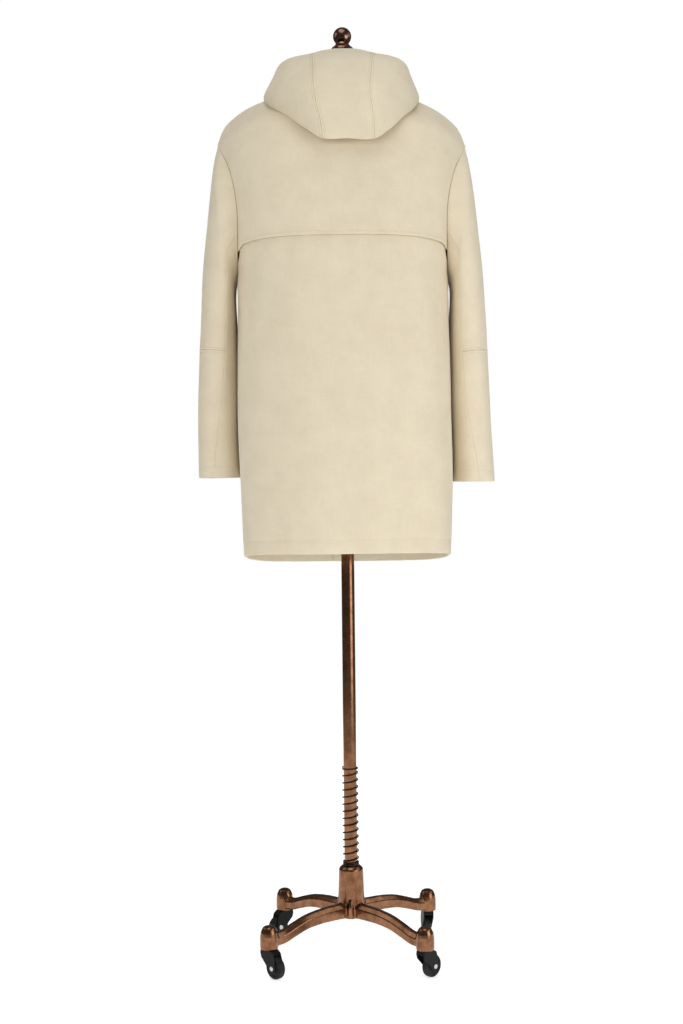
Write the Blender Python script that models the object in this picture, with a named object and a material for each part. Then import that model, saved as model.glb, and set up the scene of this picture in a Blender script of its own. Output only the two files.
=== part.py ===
"""Hooded wool coat on a wheeled dress form, at real size.

Metres, +Z up. The origin is on the floor, on the axis of the pole. The coat's back faces +Y, its
front faces -Y and the wearer's left is +X. Every panel of the coat is a cloth wall made from the
points of one shared surface, so neighbouring panels meet along the same seam lines.
"""

import math
from collections import namedtuple

import bmesh
import bpy
from mathutils import Matrix, Vector

# Cloth
WALL = 0.0028              # thick felted wool
FACING = 0.0014            # thinner facing cloth inside the fronts
SEAM = 0.00018             # each panel stops this far from the seam line
LAYER_GAP = 0.0006         # between layers that lie on each other
SUPERELLIPSE = 2.6         # fullness of the body's level sections
SLEEVE_FULLNESS = 2.3

# Grid steps
HALF_STEPS = 12            # columns from the centre line to the side
NECK_STEPS = 6             # of those, the columns that end at the neck
ARM_STEPS = 11             # rows from the underarm to the shoulder end, and half a sleeve's columns
HEM_ROWS = (0.0, 0.7, 1.5, 2.4, 3.3, 4.2)
UNDERARM_ROW = 5
TOP_ROW = 11
FLAP_STEP = 3              # armhole step where the back flap's loose edge lies
FLAP_FREE_WIDTH = 0.75     # share of the half width where the flap stands fully proud
SLOPE_STEP = 0.1           # part of a row over which a slope is taken
TURN_STEP = 2.0            # degrees over which a sleeve's turn is taken

# Armhole, an oval in side view
ARMHOLE_Z = 1.355
ARMHOLE_HALF_HEIGHT = 0.120
ARMHOLE_HALF_DEPTH = 0.085
ARMHOLE_ANGLES = (0, 30, 60, 90, 120, 150, 180)
ARMHOLE_X = (0.2235, 0.2185, 0.1985, 0.1865, 0.1855, 0.1875, 0.1900)

# Body: heights at the centre back, side edge and centre front, half width, centre depths, and the
# angle that the section turns through from its centre to its edge
BodyRow = namedtuple("BodyRow", "back_z edge_z front_z half_width back_y front_y turn")
BODY_ROWS = (
    BodyRow(0.740, 0.731, 0.7145, 0.1875, 0.148, 0.170, 90),
    BodyRow(0.800, 0.793, 0.785, 0.1900, 0.149, 0.169, 90),
    BodyRow(0.920, 0.915, 0.910, 0.1930, 0.150, 0.168, 90),
    BodyRow(1.060, 1.057, 1.052, 0.1925, 0.150, 0.166, 90),
    BodyRow(1.160, 1.155, 1.150, 0.1910, 0.150, 0.165, 90),
    BodyRow(1.236, 1.235, 1.222, 0.1900, 0.151, 0.164, 90),
    BodyRow(1.268, 1.251, 1.250, 0.1875, 0.152, 0.162, 84),
    BodyRow(1.308, 1.295, 1.284, 0.1855, 0.153, 0.159, 76),
    BodyRow(1.368, 1.355, 1.326, 0.1865, 0.151, 0.153, 70),
    BodyRow(1.432, 1.415, 1.374, 0.1985, 0.142, 0.145, 66),
    BodyRow(1.502, 1.459, 1.430, 0.2185, 0.120, 0.131, 60),
    BodyRow(1.560, 1.475, 1.488, 0.2235, 0.085, 0.103, 60),
)

# Shoulder seam, from the neck out to the armhole
SHOULDER_X = (0.0865, 0.137, 0.173, 0.194, 0.2096, 0.2185, 0.2235)
SHOULDER_Z = (1.5705, 1.5527, 1.5370, 1.5225, 1.5080, 1.4910, 1.4750)

# Neck seam, by the angle from the centre back
NECK_Y = -0.005
NECK_ANGLES = (0, 45, 90, 135, 165, 180)
NECK_RADIUS = (0.0895, 0.0880, 0.0865, 0.0920, 0.0975, 0.0980)
NECK_Z = (1.5605, 1.5675, 1.5705, 1.5315, 1.4945, 1.4880)
NECK_STEP = 15             # degrees between the seam's straight chords
RIDGE_START = 0.4          # place across where the top starts to round over the shoulder seam
RIDGE_BLEND = 0.25

# Soft upright folds of the skirt: place across the panel, width, depth at the hem
Fold = namedtuple("Fold", "place width depth")
BACK_FOLDS = (Fold(-0.62, 0.16, 0.0030), Fold(-0.22, 0.13, -0.0024), Fold(0.12, 0.12, 0.0026),
              Fold(0.44, 0.13, -0.0028), Fold(0.74, 0.12, 0.0026))
FRONT_FOLDS = (Fold(0.36, 0.13, 0.0026), Fold(0.68, 0.14, -0.0030))
FOLD_TOP_Z = 1.25
FOLD_HEM_Z = 0.73

# Fronts
LAP = 0.05                 # how far each front passes the centre, as a share of the half panel
LAP_DROP = WALL + 0.0023   # how far the under front lies inside the upper one
LAP_BLEND = (0.34, 0.12)   # where the under front starts to drop, and where it is down
FACING_EDGE = 5            # column of the fronts where the facing ends
FACING_ROWS = 4

# Buttons of the hidden closure
BUTTON_RADIUS = 0.013
BUTTON_THICKNESS = 0.0040
BUTTON_Z = (1.445, 1.325, 1.205, 1.085, 0.965)
BUTTON_SIDES = 16
BUTTON_TOP_SHARE = 0.88    # top radius over foot radius
ROW_PARTS = 20             # parts that a body row is searched in for a button's height

# Sleeve sections from below the armhole to the cuff: outer and inner line, half depth, centre
SleeveRow = namedtuple("SleeveRow", "outer_x outer_z inner_x inner_z depth centre_y")
SLEEVE_ROWS = (
    SleeveRow(0.2300, 1.440, 0.1930, 1.222, 0.0865, 0.000),
    SleeveRow(0.2375, 1.390, 0.1945, 1.208, 0.0860, -0.001),
    SleeveRow(0.2450, 1.325, 0.1945, 1.190, 0.0830, -0.003),
    SleeveRow(0.2530, 1.255, 0.1935, 1.168, 0.0790, -0.006),
    SleeveRow(0.2580, 1.180, 0.1928, 1.138, 0.0745, -0.010),
    SleeveRow(0.2620, 1.107, 0.1926, 1.100, 0.0705, -0.015),
    SleeveRow(0.2660, 1.030, 0.1930, 1.030, 0.0660, -0.021),
    SleeveRow(0.2690, 0.955, 0.1945, 0.955, 0.0610, -0.027),
    SleeveRow(0.2720, 0.870, 0.1950, 0.870, 0.0560, -0.033),
)
ELBOW_ROW = 6
SLEEVE_RISE_ROWS = (0.0, 3.0, 6.0, 9.0)
SLEEVE_RISE = {"left": (0.0, 0.0, 0.0, 0.0055), "right": (0.0, -0.0015, -0.0060, -0.0060)}
SLEEVE_STATIONS = (0.0, 0.5, 1.0, 2.0, 3.0, 4.0, 5.0, 6.0, 7.0, 8.0, 9.0)
ARM_STEP_ANGLE = 180.0 / ARM_STEPS
SLEEVE_SEAM_ANGLE = 7 * ARM_STEP_ANGLE
BACK_SEAM_ROWS = (0, 6, 7, 8, 9)
BACK_SEAM_ANGLES = (SLEEVE_SEAM_ANGLE, SLEEVE_SEAM_ANGLE, 106, 94, 82)
OUTER_COLUMNS = 14
UNDER_COLUMNS = 8

# Hood profiles, from the neck seam under and round the fold to the rim: radius and height at
# each angle from the centre back
HOOD_ANGLES = (0, 16, 26, 45, 90, 135, 165)
HoodPoint = namedtuple("HoodPoint", "name radius height")
HOOD_POINTS = (
    HoodPoint("seam", (0.0895, 0.0893, 0.0889, 0.0880, 0.0865, 0.0920, 0.0975),
              (1.5611, 1.5620, 1.5639, 1.5681, 1.5711, 1.5321, 1.4951)),
    HoodPoint("roll", (0.1040, 0.1050, 0.1039, 0.1010, 0.0990, 0.0970, 0.0985),
              (1.5740, 1.5750, 1.5766, 1.5800, 1.5830, 1.5470, 1.4990)),
    HoodPoint("under", (0.1330, 0.1370, 0.1350, 0.1280, 0.1180, 0.1040, 0.0995),
              (1.5240, 1.5255, 1.5295, 1.5450, 1.5680, 1.5540, 1.5030)),
    HoodPoint("fold", (0.1580, 0.1640, 0.1620, 0.1540, 0.1320, 0.1110, 0.1005),
              (1.4560, 1.4568, 1.4750, 1.5100, 1.5565, 1.5590, 1.5070)),
    HoodPoint("swell", (0.1770, 0.1830, 0.1786, 0.1635, 0.1355, 0.1150, 0.1015),
              (1.4900, 1.4892, 1.5035, 1.5370, 1.5625, 1.5650, 1.5110)),
    HoodPoint("crown", (0.1740, 0.1775, 0.1707, 0.1525, 0.1207, 0.1135, 0.1020),
              (1.5490, 1.5510, 1.5598, 1.5800, 1.5860, 1.5715, 1.5150)),
    HoodPoint("brow", (0.1430, 0.1455, 0.1440, 0.1375, 0.1085, 0.1095, 0.1020),
              (1.6000, 1.6008, 1.6035, 1.6080, 1.6025, 1.5770, 1.5190)),
    HoodPoint("rim", (0.0950, 0.0955, 0.0965, 0.0985, 0.0975, 0.1050, 0.1015),
              (1.6282, 1.6276, 1.6256, 1.6205, 1.6105, 1.5800, 1.5225)),
)
HOOD_ROWS = 13
GUSSET_POINTS = (0, 2, 3, 5, 7)
GUSSET_HALF_WIDTH = (0.0448, 0.0445, 0.0450, 0.0490, 0.0570)
GUSSET_COLUMNS = 4
HOOD_FRONT_ANGLE = 165
HOOD_SIDE_COLUMNS = 9
GUSSET_START_ANGLE = 20.0  # first guess at a gusset seam's angle
GUSSET_TRIES = 12

# Dress form: height, half width, half depth and the fullness of its superellipse section
FormRow = namedtuple("FormRow", "z half_width half_depth fullness")
FORM_ROWS = (
    FormRow(0.8350, 0.146, 0.108, 2.25), FormRow(0.8400, 0.151, 0.113, 2.25),
    FormRow(0.9000, 0.158, 0.120, 2.25), FormRow(0.9800, 0.151, 0.113, 2.25),
    FormRow(1.0700, 0.142, 0.104, 2.25), FormRow(1.1600, 0.148, 0.106, 2.25),
    FormRow(1.2500, 0.160, 0.114, 2.25), FormRow(1.3300, 0.167, 0.114, 2.2),
    FormRow(1.3900, 0.172, 0.106, 2.1), FormRow(1.4350, 0.177, 0.094, 2.0),
    FormRow(1.4700, 0.180, 0.080, 1.8), FormRow(1.4950, 0.181, 0.068, 1.6),
    FormRow(1.5186, 0.176, 0.058, 1.45), FormRow(1.5353, 0.160, 0.052, 1.3),
    FormRow(1.5478, 0.130, 0.049, 1.22), FormRow(1.5577, 0.096, 0.051, 1.36),
    FormRow(1.5679, 0.070, 0.054, 1.8), FormRow(1.5840, 0.060, 0.055, 2.0),
    FormRow(1.6100, 0.055, 0.055, 2.0), FormRow(1.6332, 0.053, 0.053, 2.0),
)
FORM_SIDES = 24

# How the coat and the form hang out of true. Each share rises over the first pair of heights
# and falls over the second.
LEAN = 0.0035              # to the wearer's left
LEAN_HEIGHTS = ((0.84, 1.00), (1.52, 1.62))
TILT = 0.0175              # the left shoulder is higher, by this much a metre
TILT_HEIGHTS = ((1.25, 1.45), (1.54, 1.62))
SWAY = 0.012               # the hood's fold swings to the wearer's right
SWAY_HEIGHTS = (1.456, 1.555)
SWAY_DEPTH = 0.100         # it swings fully behind this distance

# Stand
GAP = 0.0003
EDGE_BEVEL = 0.002
CUTTER_MARGIN = 0.020      # how far a cutter passes the piece that it cuts
POLE_RADIUS = 0.0118
POLE_BOTTOM = 0.092
POLE_TOP = 0.790
BORE_RADIUS = 0.0092
BORE_BOTTOM = 0.400
ROD_RADIUS = BORE_RADIUS - GAP
ROD_BOTTOM = 0.420
FLANGE_RADIUS = 0.045
FLANGE_THICKNESS = 0.006
FORM_BOTTOM = FORM_ROWS[0].z
COLLAR_RADIUS = 0.019
COLLAR_HEIGHT = 0.028
COLLAR_RISE = 0.004        # of the collar above the pole's top
HUB_TOP = 0.1665
HUB_SHOULDER = 0.005
HUB_FOOT_TOP = 0.110       # the hub tapers above this height
HUB_BOTTOM = 0.0740
HUB_TOP_RADIUS = 0.0218
HUB_BOTTOM_RADIUS = 0.0235
ROUND_SIDES = 16

# Compression spring round the foot of the pole
WIRE_RADIUS = 0.0013
SPRING_TOP = 0.3466
SPRING_SIDES = 4
SPRING_STEPS = 10
CLOSED_TURNS_BELOW = 2
CLOSED_TURNS_ABOVE = 1
OPEN_TURNS = 13

# Legs: distance from the axis, centre height, height and width of the bar
LegRow = namedtuple("LegRow", "reach centre_z height width")
LEG_ROWS = (
    LegRow(0.012, 0.0865, 0.0270, 0.022), LegRow(0.045, 0.0870, 0.0255, 0.021),
    LegRow(0.080, 0.0858, 0.0240, 0.020), LegRow(0.110, 0.0820, 0.0230, 0.020),
    LegRow(0.138, 0.0740, 0.0225, 0.020), LegRow(0.162, 0.0665, 0.0220, 0.020),
    LegRow(0.190, 0.0640, 0.0215, 0.020),
)
LEG_BEVEL = 0.0035
LEG_STEPS = 9
LEG_REACH = 0.1928
FIRST_LEG_ANGLE = 41.2
CAP_RADIUS = 0.0158
CAP_BOTTOM = 0.0500
CAP_SHOULDER = 0.0720
CAP_TOP = 0.0910
CAP_SIDES = 16
CAP_DOME_ANGLES = (0, 24, 46, 66)

# Casters
WHEEL_RADIUS = 0.020
WHEEL_WIDTH = 0.0130
WHEEL_SIDES = 20
WHEEL_EDGE = 0.0022
TRAIL = 0.0160
STEM_RADIUS = 0.0045
STEM_LENGTH = 0.020
STEM_ROOT = 0.003          # of the stem inside the fork
WHEEL_CLEARANCE = 0.0007
FORK_WIDTH = 0.0190
FORK_TOP = CAP_BOTTOM - GAP
FORK_CROWN = 0.0070
FORK_SLOT_LENGTH = 0.080
FORK_SLOT_HEIGHT = 0.060
FORK_BACK = ((-0.0125, 0.0), (-0.0135, -0.006), (-0.0110, -0.014))   # (trail, from the top)
FORK_EYE_RADIUS = 0.0085
FORK_EYE_ANGLES = range(215, 395, 30)
FORK_FRONT = ((0.0190, -0.0045), (0.0125, 0.0))
FORK_SHOULDER = (0.0235, 0.013)                                      # (trail, from the axle)
AXLE_RADIUS = 0.0028
AXLE_HEAD_RADIUS = 0.0042
AXLE_HEAD = 0.0010
AXLE_SIDES = 12
CASTERS = (
    ("rear_left", 0, 135.0),
    ("rear_right", 1, 225.0),
    ("front_right", 2, 277.0),
    ("front_left", 3, 38.0),
)

# Neck cap and knob
NECK_CAP_BOTTOM = FORM_ROWS[-1].z + GAP
NECK_CAP_PROFILE = ((0.0545, 0.0), (0.0550, 0.0032), (0.0500, 0.0052), (0.0360, 0.0090),
                    (0.0215, 0.0132))
KNOB_BOTTOM = NECK_CAP_BOTTOM + NECK_CAP_PROFILE[-1][1] + GAP
KNOB_RADIUS = 0.0166
KNOB_FOOT = ((0.0205, 0.0), (0.0200, 0.0030), (0.0185, 0.0060), (0.0140, 0.0095),
             (0.0118, 0.0142))
KNOB_CENTRE = 0.0259
KNOB_STEPS = 7


def clear_scene():
    """Remove every object that the file starts with."""
    for old in list(bpy.data.objects):
        bpy.data.objects.remove(old, do_unlink=True)


def finish(name, colour, roughness, metallic=0.0):
    """A plain Principled material."""
    material = bpy.data.materials.new(name)
    material.use_nodes = True
    shader = material.node_tree.nodes["Principled BSDF"]
    shader.inputs["Base Color"].default_value = (*colour, 1.0)
    shader.inputs["Roughness"].default_value = roughness
    shader.inputs["Metallic"].default_value = metallic
    return material


def smooth(knots, values, place):
    """Value at a place on a smooth curve through (knots, values), numbers or vectors."""
    last = len(knots) - 1
    place = min(max(place, knots[0]), knots[last])
    i = 0
    while i < last - 1 and place > knots[i + 1]:
        i += 1

    def slope(k):
        before = (values[k] - values[k - 1]) / (knots[k] - knots[k - 1]) if k > 0 else None
        after = (values[k + 1] - values[k]) / (knots[k + 1] - knots[k]) if k < last else None
        if before is None:
            return after
        return before if after is None else (before + after) * 0.5

    span = knots[i + 1] - knots[i]
    f = (place - knots[i]) / span
    rise = f * f * (3.0 - 2.0 * f)
    return (values[i] * (1.0 - rise) + values[i + 1] * rise
            + slope(i) * (span * f * (1.0 - f) ** 2)
            - slope(i + 1) * (span * f * f * (1.0 - f)))


def ease(value):
    """Smooth step from 0 to 1."""
    value = min(max(value, 0.0), 1.0)
    return value * value * (3.0 - 2.0 * value)


def power(value, exponent):
    """Signed power, for superellipses."""
    return math.copysign(abs(value) ** exponent, value)


def add_object(name, bm, material, smooth_angle=40.0):
    """Close a bmesh into a named object with smooth shading below an angle."""
    bmesh.ops.recalc_face_normals(bm, faces=bm.faces)
    mesh = bpy.data.meshes.new(name)
    bm.to_mesh(mesh)
    bm.free()
    mesh.materials.append(material)
    mesh.shade_smooth()
    mesh.set_sharp_from_angle(angle=math.radians(smooth_angle))
    obj = bpy.data.objects.new(name, mesh)
    bpy.context.scene.collection.objects.link(obj)
    return obj


def cut(obj, cutter):
    """Take a cutter out of an object with an exact Boolean."""
    cutter.hide_render = True
    cutter.display_type = "WIRE"
    modifier = obj.modifiers.new("cut_" + cutter.name, "BOOLEAN")
    modifier.operation = "DIFFERENCE"
    modifier.solver = "EXACT"
    modifier.object = cutter


def join(obj, other):
    """Unite another closed piece with an object."""
    other.hide_render = True
    other.display_type = "WIRE"
    modifier = obj.modifiers.new("join_" + other.name, "BOOLEAN")
    modifier.operation = "UNION"
    modifier.solver = "EXACT"
    modifier.object = other


# Cloth walls

def between(z, rise, fall):
    """Share that rises over one pair of heights and falls over another."""
    return (ease((z - rise[0]) / (rise[1] - rise[0]))
            * (1.0 - ease((z - fall[0]) / (fall[1] - fall[0]))))


def hang(obj):
    """Set an object's mesh out of true as the dressed form hangs."""
    low, high = SWAY_HEIGHTS
    sway = SWAY if obj.name.startswith("hood") else 0.0
    for vertex in obj.data.vertices:
        x, y, z = vertex.co
        swung = sway * ease((high - z) / (high - low)) * ease(y / SWAY_DEPTH)
        vertex.co = (x + LEAN * between(z, *LEAN_HEIGHTS) - swung, y,
                     z + TILT * x * between(z, *TILT_HEIGHTS))
    obj.data.update()


def grid_normals(grid, outside, left=None, right=None, above=None):
    """Unit normals of a grid; outside is +1 or -1 and picks the outer side.

    left, right and above are rows of points just past those edges, where a neighbour goes on."""
    rows, columns = len(grid), len(grid[0])
    normals = []
    for r in range(rows):
        line = []
        for c in range(columns):
            before = grid[r][c - 1] if c else (left[r] if left else grid[r][c])
            after = grid[r][c + 1] if c < columns - 1 else (right[r] if right else grid[r][c])
            low = grid[r - 1][c] if r else grid[r][c]
            high = grid[r + 1][c] if r < rows - 1 else (above[c] if above else grid[r][c])
            line.append((after - before).cross(high - low).normalized() * outside)
        normals.append(line)
    return normals


def moved_out(grid, normals, distance):
    """The grid moved along its normals by a distance that may depend on row and column."""
    return [[point + normal * distance(r, c)
             for c, (point, normal) in enumerate(zip(line, sides))]
            for r, (line, sides) in enumerate(zip(grid, normals))]


def seam_gap(grid, edges="udlr"):
    """Draw the named edges in by the seam allowance: u last row, d first row, l and r columns."""
    def pull(edge_point, inner_point):
        return edge_point + (inner_point - edge_point).normalized() * SEAM

    if "l" in edges:
        for line in grid:
            line[0] = pull(line[0], line[1])
    if "r" in edges:
        for line in grid:
            line[-1] = pull(line[-1], line[-2])
    if "d" in edges:
        grid[0] = [pull(a, b) for a, b in zip(grid[0], grid[1])]
    if "u" in edges:
        grid[-1] = [pull(a, b) for a, b in zip(grid[-1], grid[-2])]
    return grid


def wall(name, outer, normals, material, thickness=WALL, edges="udlr"):
    """A closed cloth wall from its outer points and their normals."""
    inner = moved_out(outer, normals, lambda r, c: -thickness)
    outer = seam_gap([list(line) for line in outer], edges)
    inner = seam_gap(inner, edges)
    rows, columns = len(outer), len(outer[0])
    bm = bmesh.new()
    faces = []
    for grid in (outer, inner):
        faces.append([[bm.verts.new(point) for point in line] for line in grid])
    top, under = faces
    for r in range(rows - 1):
        for c in range(columns - 1):
            bm.faces.new((top[r][c], top[r][c + 1], top[r + 1][c + 1], top[r + 1][c]))
            bm.faces.new((under[r][c], under[r + 1][c], under[r + 1][c + 1], under[r][c + 1]))
    for c in range(columns - 1):
        for r in (0, rows - 1):
            bm.faces.new((top[r][c], under[r][c], under[r][c + 1], top[r][c + 1]))
    for r in range(rows - 1):
        for c in (0, columns - 1):
            bm.faces.new((top[r][c], top[r + 1][c], under[r + 1][c], under[r][c]))
    return add_object(name, bm, material, smooth_angle=60.0)


# Shared surface of the coat's body

def armhole_point(angle):
    """Point of the left armhole's back edge, 0 degrees at the shoulder and 180 at the underarm."""
    turn = math.radians(angle)
    return Vector((smooth(ARMHOLE_ANGLES, ARMHOLE_X, abs(angle)),
                   ARMHOLE_HALF_DEPTH * math.sin(turn),
                   ARMHOLE_Z + ARMHOLE_HALF_HEIGHT * math.cos(turn)))


def neck_point(angle):
    """Point of the neck seam at an angle from the centre back, on straight chords."""
    def on_curve(at):
        turn = math.radians(at)
        radius = smooth(NECK_ANGLES, NECK_RADIUS, at)
        return Vector((radius * math.sin(turn), NECK_Y + radius * math.cos(turn),
                       smooth(NECK_ANGLES, NECK_Z, at)))

    first = math.floor(angle / NECK_STEP) * NECK_STEP
    share = (angle - first) / NECK_STEP
    return on_curve(first) * (1.0 - share) + on_curve(first + NECK_STEP) * share


def row_value(name, row):
    """A body table column at any place between its rows."""
    return smooth(range(len(BODY_ROWS)), [getattr(r, name) for r in BODY_ROWS], row)


def armhole_angle(row):
    """Armhole angle that goes with a body row above the underarm."""
    return 180.0 * (TOP_ROW - row) / (TOP_ROW - UNDERARM_ROW)


def section_point(across, row, back):
    """Point of a body section; across runs from 0 at the centre to 1 at the left edge."""
    side = 1.0 if back else -1.0
    centre_z = row_value("back_z" if back else "front_z", row)
    centre_y = row_value("back_y" if back else "front_y", row)
    if row >= UNDERARM_ROW:
        edge = armhole_point(armhole_angle(row))
    else:
        edge = Vector((row_value("half_width", row), 0.0, row_value("edge_z", row)))
    turn = math.radians(row_value("turn", row))
    exponent = 2.0 / SUPERELLIPSE
    angle = across * turn
    x = edge.x * power(math.sin(angle) / math.sin(turn), exponent)
    end = power(math.cos(turn), exponent)
    share = (power(math.cos(angle), exponent) - end) / (1.0 - end)
    y = edge.y + (centre_y - edge.y) * share
    z = centre_z + (edge.z - centre_z) * abs(across) ** 3
    return Vector((x, side * y, z))


def top_point(across, back):
    """Point of the top edge: the neck seam, then the shoulder seam out to the armhole."""
    neck_share = NECK_STEPS / HALF_STEPS
    if across <= neck_share:
        angle = abs(across) / neck_share * 90.0
        point = neck_point(angle if back else 180.0 - angle)
        point.x = math.copysign(point.x, across)
        return point
    share = (across - neck_share) / (1.0 - neck_share)
    x = SHOULDER_X[0] + (SHOULDER_X[-1] - SHOULDER_X[0]) * share
    return Vector((x, NECK_Y * (1.0 - share), smooth(SHOULDER_X, SHOULDER_Z, x)))


def body_point(across, row, back):
    """Point of the body's outer surface."""
    if across < 0.0:
        mirrored = body_point(-across, row, back)
        return Vector((-mirrored.x, mirrored.y, mirrored.z))
    last = TOP_ROW - 1
    if row <= last:
        return section_point(across, row, back)
    if across >= 1.0:
        edge = armhole_point(armhole_angle(row))
        return Vector((edge.x, edge.y if back else -edge.y, edge.z))
    before = section_point(across, last - 1, back)
    lower = section_point(across, last, back)
    top = top_point(across, back)
    over = section_point(across, last, not back)
    ridge = ease((across - RIDGE_START) / RIDGE_BLEND)
    beyond = (top * 2.0 - lower) * (1.0 - ridge) + over * ridge
    return smooth((0.0, 1.0, 2.0, 3.0), (before, lower, top, beyond), 1.0 + row - last)


def fold_depth(across, z, folds):
    """How far the skirt's soft folds stand out."""
    share = ease((FOLD_TOP_Z - z) / (FOLD_TOP_Z - FOLD_HEM_Z))
    return share * sum(f.depth * math.exp(-((across - f.place) / f.width) ** 2) for f in folds)


def body_stations():
    """Rows of the body's grid, from the hem to the shoulder seam."""
    step = (TOP_ROW - UNDERARM_ROW) / ARM_STEPS
    return list(HEM_ROWS) + [UNDERARM_ROW + k * step for k in range(ARM_STEPS + 1)]


def flap_row_index():
    """Grid row of the back flap's loose edge."""
    return len(HEM_ROWS) + FLAP_STEP


def past_side(across, row, back):
    """Point just past the side seam, or past the armhole's edge, at the left or right end."""
    inner = across - math.copysign(1.0 / HALF_STEPS, across)
    if row < UNDERARM_ROW:
        return body_point(inner, row, not back)
    return body_point(across, row, back) * 2.0 - body_point(inner, row, back)


def armhole_body_normal(row, back):
    """Outward direction of the body alone at the left armhole's edge."""
    step = (TOP_ROW - UNDERARM_ROW) / ARM_STEPS
    across = body_point(1.0, row, back) - body_point(1.0 - 1.0 / HALF_STEPS, row, back)
    upward = (body_point(1.0, min(row + step, TOP_ROW), back)
              - body_point(1.0, row - step, back))
    normal = across.cross(upward).normalized()
    return -normal if back else normal


def armhole_normal(angle):
    """Outward direction at the left armhole's seam, midway between the body and the sleeve."""
    row = TOP_ROW - abs(angle) / 180.0 * (TOP_ROW - UNDERARM_ROW)
    body = armhole_body_normal(row, angle >= 0.0)
    if row in (TOP_ROW, UNDERARM_ROW):
        body = (body + armhole_body_normal(row, angle < 0.0)).normalized()
    around = (sleeve_point(angle + ARM_STEP_ANGLE, 0.0)
              - sleeve_point(angle - ARM_STEP_ANGLE, 0.0))
    down = sleeve_point(angle, 0.5) - sleeve_point(angle, 0.0)
    return (body + down.cross(around).normalized()).normalized()


def match_armholes(normals, back):
    """Give the armhole edges of a body grid the normals that the sleeves use there."""
    for step in range(ARM_STEPS + 1):
        angle = 180.0 - step * ARM_STEP_ANGLE
        normal = armhole_normal(angle if back else -angle)
        line = normals[len(HEM_ROWS) + step]
        line[-1] = normal
        if back:
            line[0] = Vector((-normal.x, normal.y, normal.z))
    return normals


def past_top(across, back):
    """Point just past the shoulder seam, or past the neck's edge."""
    lower = body_stations()[-2]
    if abs(across) >= NECK_STEPS / HALF_STEPS:
        return body_point(across, lower, not back)
    return body_point(across, TOP_ROW, back) * 2.0 - body_point(across, lower, back)


def body_grid(columns, back, folds):
    """Grid of the body's surface over the given places across, and its normals."""
    stations = body_stations()
    outside = -1.0 if back else 1.0
    grid = [[body_point(across, row, back) for across in columns] for row in stations]
    right = [past_side(columns[-1], row, back) for row in stations]
    left = [past_side(columns[0], row, back) for row in stations] if back else None
    above = [past_top(across, back) for across in columns]
    normals = grid_normals(grid, outside, left, right, above)
    folded = moved_out(grid, normals,
                       lambda r, c: fold_depth(columns[c], grid[r][c].z, folds))
    return folded, match_armholes(grid_normals(folded, outside, left, right, above), back)


def sunk_share(row_index, across):
    """How far the back lies in under its flap: 0 where the flap stands proud, 1 at its seams."""
    low = flap_row_index()
    high = len(body_stations()) - 1
    if row_index < low:
        return 0.0
    upward = (row_index - low) / (high - low)
    outward = ease((abs(across) - FLAP_FREE_WIDTH) / (1.0 - FLAP_FREE_WIDTH))
    return 1.0 - (1.0 - upward) * (1.0 - outward)


def build_back(cloth):
    """Back panel, drawn in under the flap, and the loose storm flap over it."""
    columns = [c / HALF_STEPS for c in range(-HALF_STEPS, HALF_STEPS + 1)]
    grid, normals = body_grid(columns, True, BACK_FOLDS)
    step = WALL + LAYER_GAP
    inset = moved_out(grid, normals, lambda r, c: -step * sunk_share(r, columns[c]))
    wall("coat_back", inset, normals, cloth)
    low = flap_row_index()
    proud = moved_out(grid, normals, lambda r, c: step * (1.0 - sunk_share(r, columns[c])))
    wall("coat_back_flap", proud[low:], normals[low:], cloth)


def front_columns():
    """Places across a front, from its lap past the centre to the side."""
    return [-LAP] + [c / HALF_STEPS for c in range(HALF_STEPS + 1)]


def build_fronts(cloth, facing_cloth):
    """Left front over right front, with their facings inside the hem."""
    columns = front_columns()
    grid, normals = body_grid(columns, False, FRONT_FOLDS)
    wall("coat_front_left", grid, normals, cloth)
    start, end = LAP_BLEND
    under = moved_out(grid, normals,
                      lambda r, c: -LAP_DROP * ease((start - columns[c]) / (start - end)))
    mirror(wall("coat_front_right", under, normals, cloth))
    for name, surface in (("coat_facing_left", grid), ("coat_facing_right", under)):
        inside = moved_out(surface, normals, lambda r, c: -(WALL + 0.5 * LAYER_GAP))
        strip = [line[:FACING_EDGE + 1] for line in inside[:FACING_ROWS]]
        strip_sides = [line[:FACING_EDGE + 1] for line in normals[:FACING_ROWS]]
        facing = wall(name, strip, strip_sides, facing_cloth, FACING)
        if name.endswith("right"):
            mirror(facing)


def mirror(obj):
    """Reflect an object's mesh in the YZ plane, for the other side."""
    bm = bmesh.new()
    bm.from_mesh(obj.data)
    bmesh.ops.scale(bm, vec=(-1.0, 1.0, 1.0), verts=bm.verts)
    bmesh.ops.recalc_face_normals(bm, faces=bm.faces)
    bm.to_mesh(obj.data)
    bm.free()
    obj.data.update()
    return obj


def build_buttons(horn):
    """Plain buttons down the centre front."""
    for number, height in enumerate(BUTTON_Z, start=1):
        rows = [k / ROW_PARTS for k in range(ROW_PARTS * (TOP_ROW - 1))]
        row = min(rows, key=lambda at: abs(section_point(0.0, at, False).z - height))
        centre = section_point(0.0, row, False)
        slope = (section_point(0.0, row + SLOPE_STEP, False)
                 - section_point(0.0, row - SLOPE_STEP, False))
        outward = Vector((0.0, -slope.z, slope.y)).normalized()
        bm = bmesh.new()
        bmesh.ops.create_cone(bm, cap_ends=True, segments=BUTTON_SIDES, radius1=BUTTON_RADIUS,
                              radius2=BUTTON_RADIUS * BUTTON_TOP_SHARE,
                              depth=BUTTON_THICKNESS)
        turn = outward.to_track_quat("Z", "Y").to_matrix().to_4x4()
        place = centre + outward * (BUTTON_THICKNESS * 0.5 + GAP)
        bmesh.ops.transform(bm, matrix=Matrix.Translation(place) @ turn, verts=bm.verts)
        add_object(f"button_{number}", bm, horn)


# Sleeves

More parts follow.
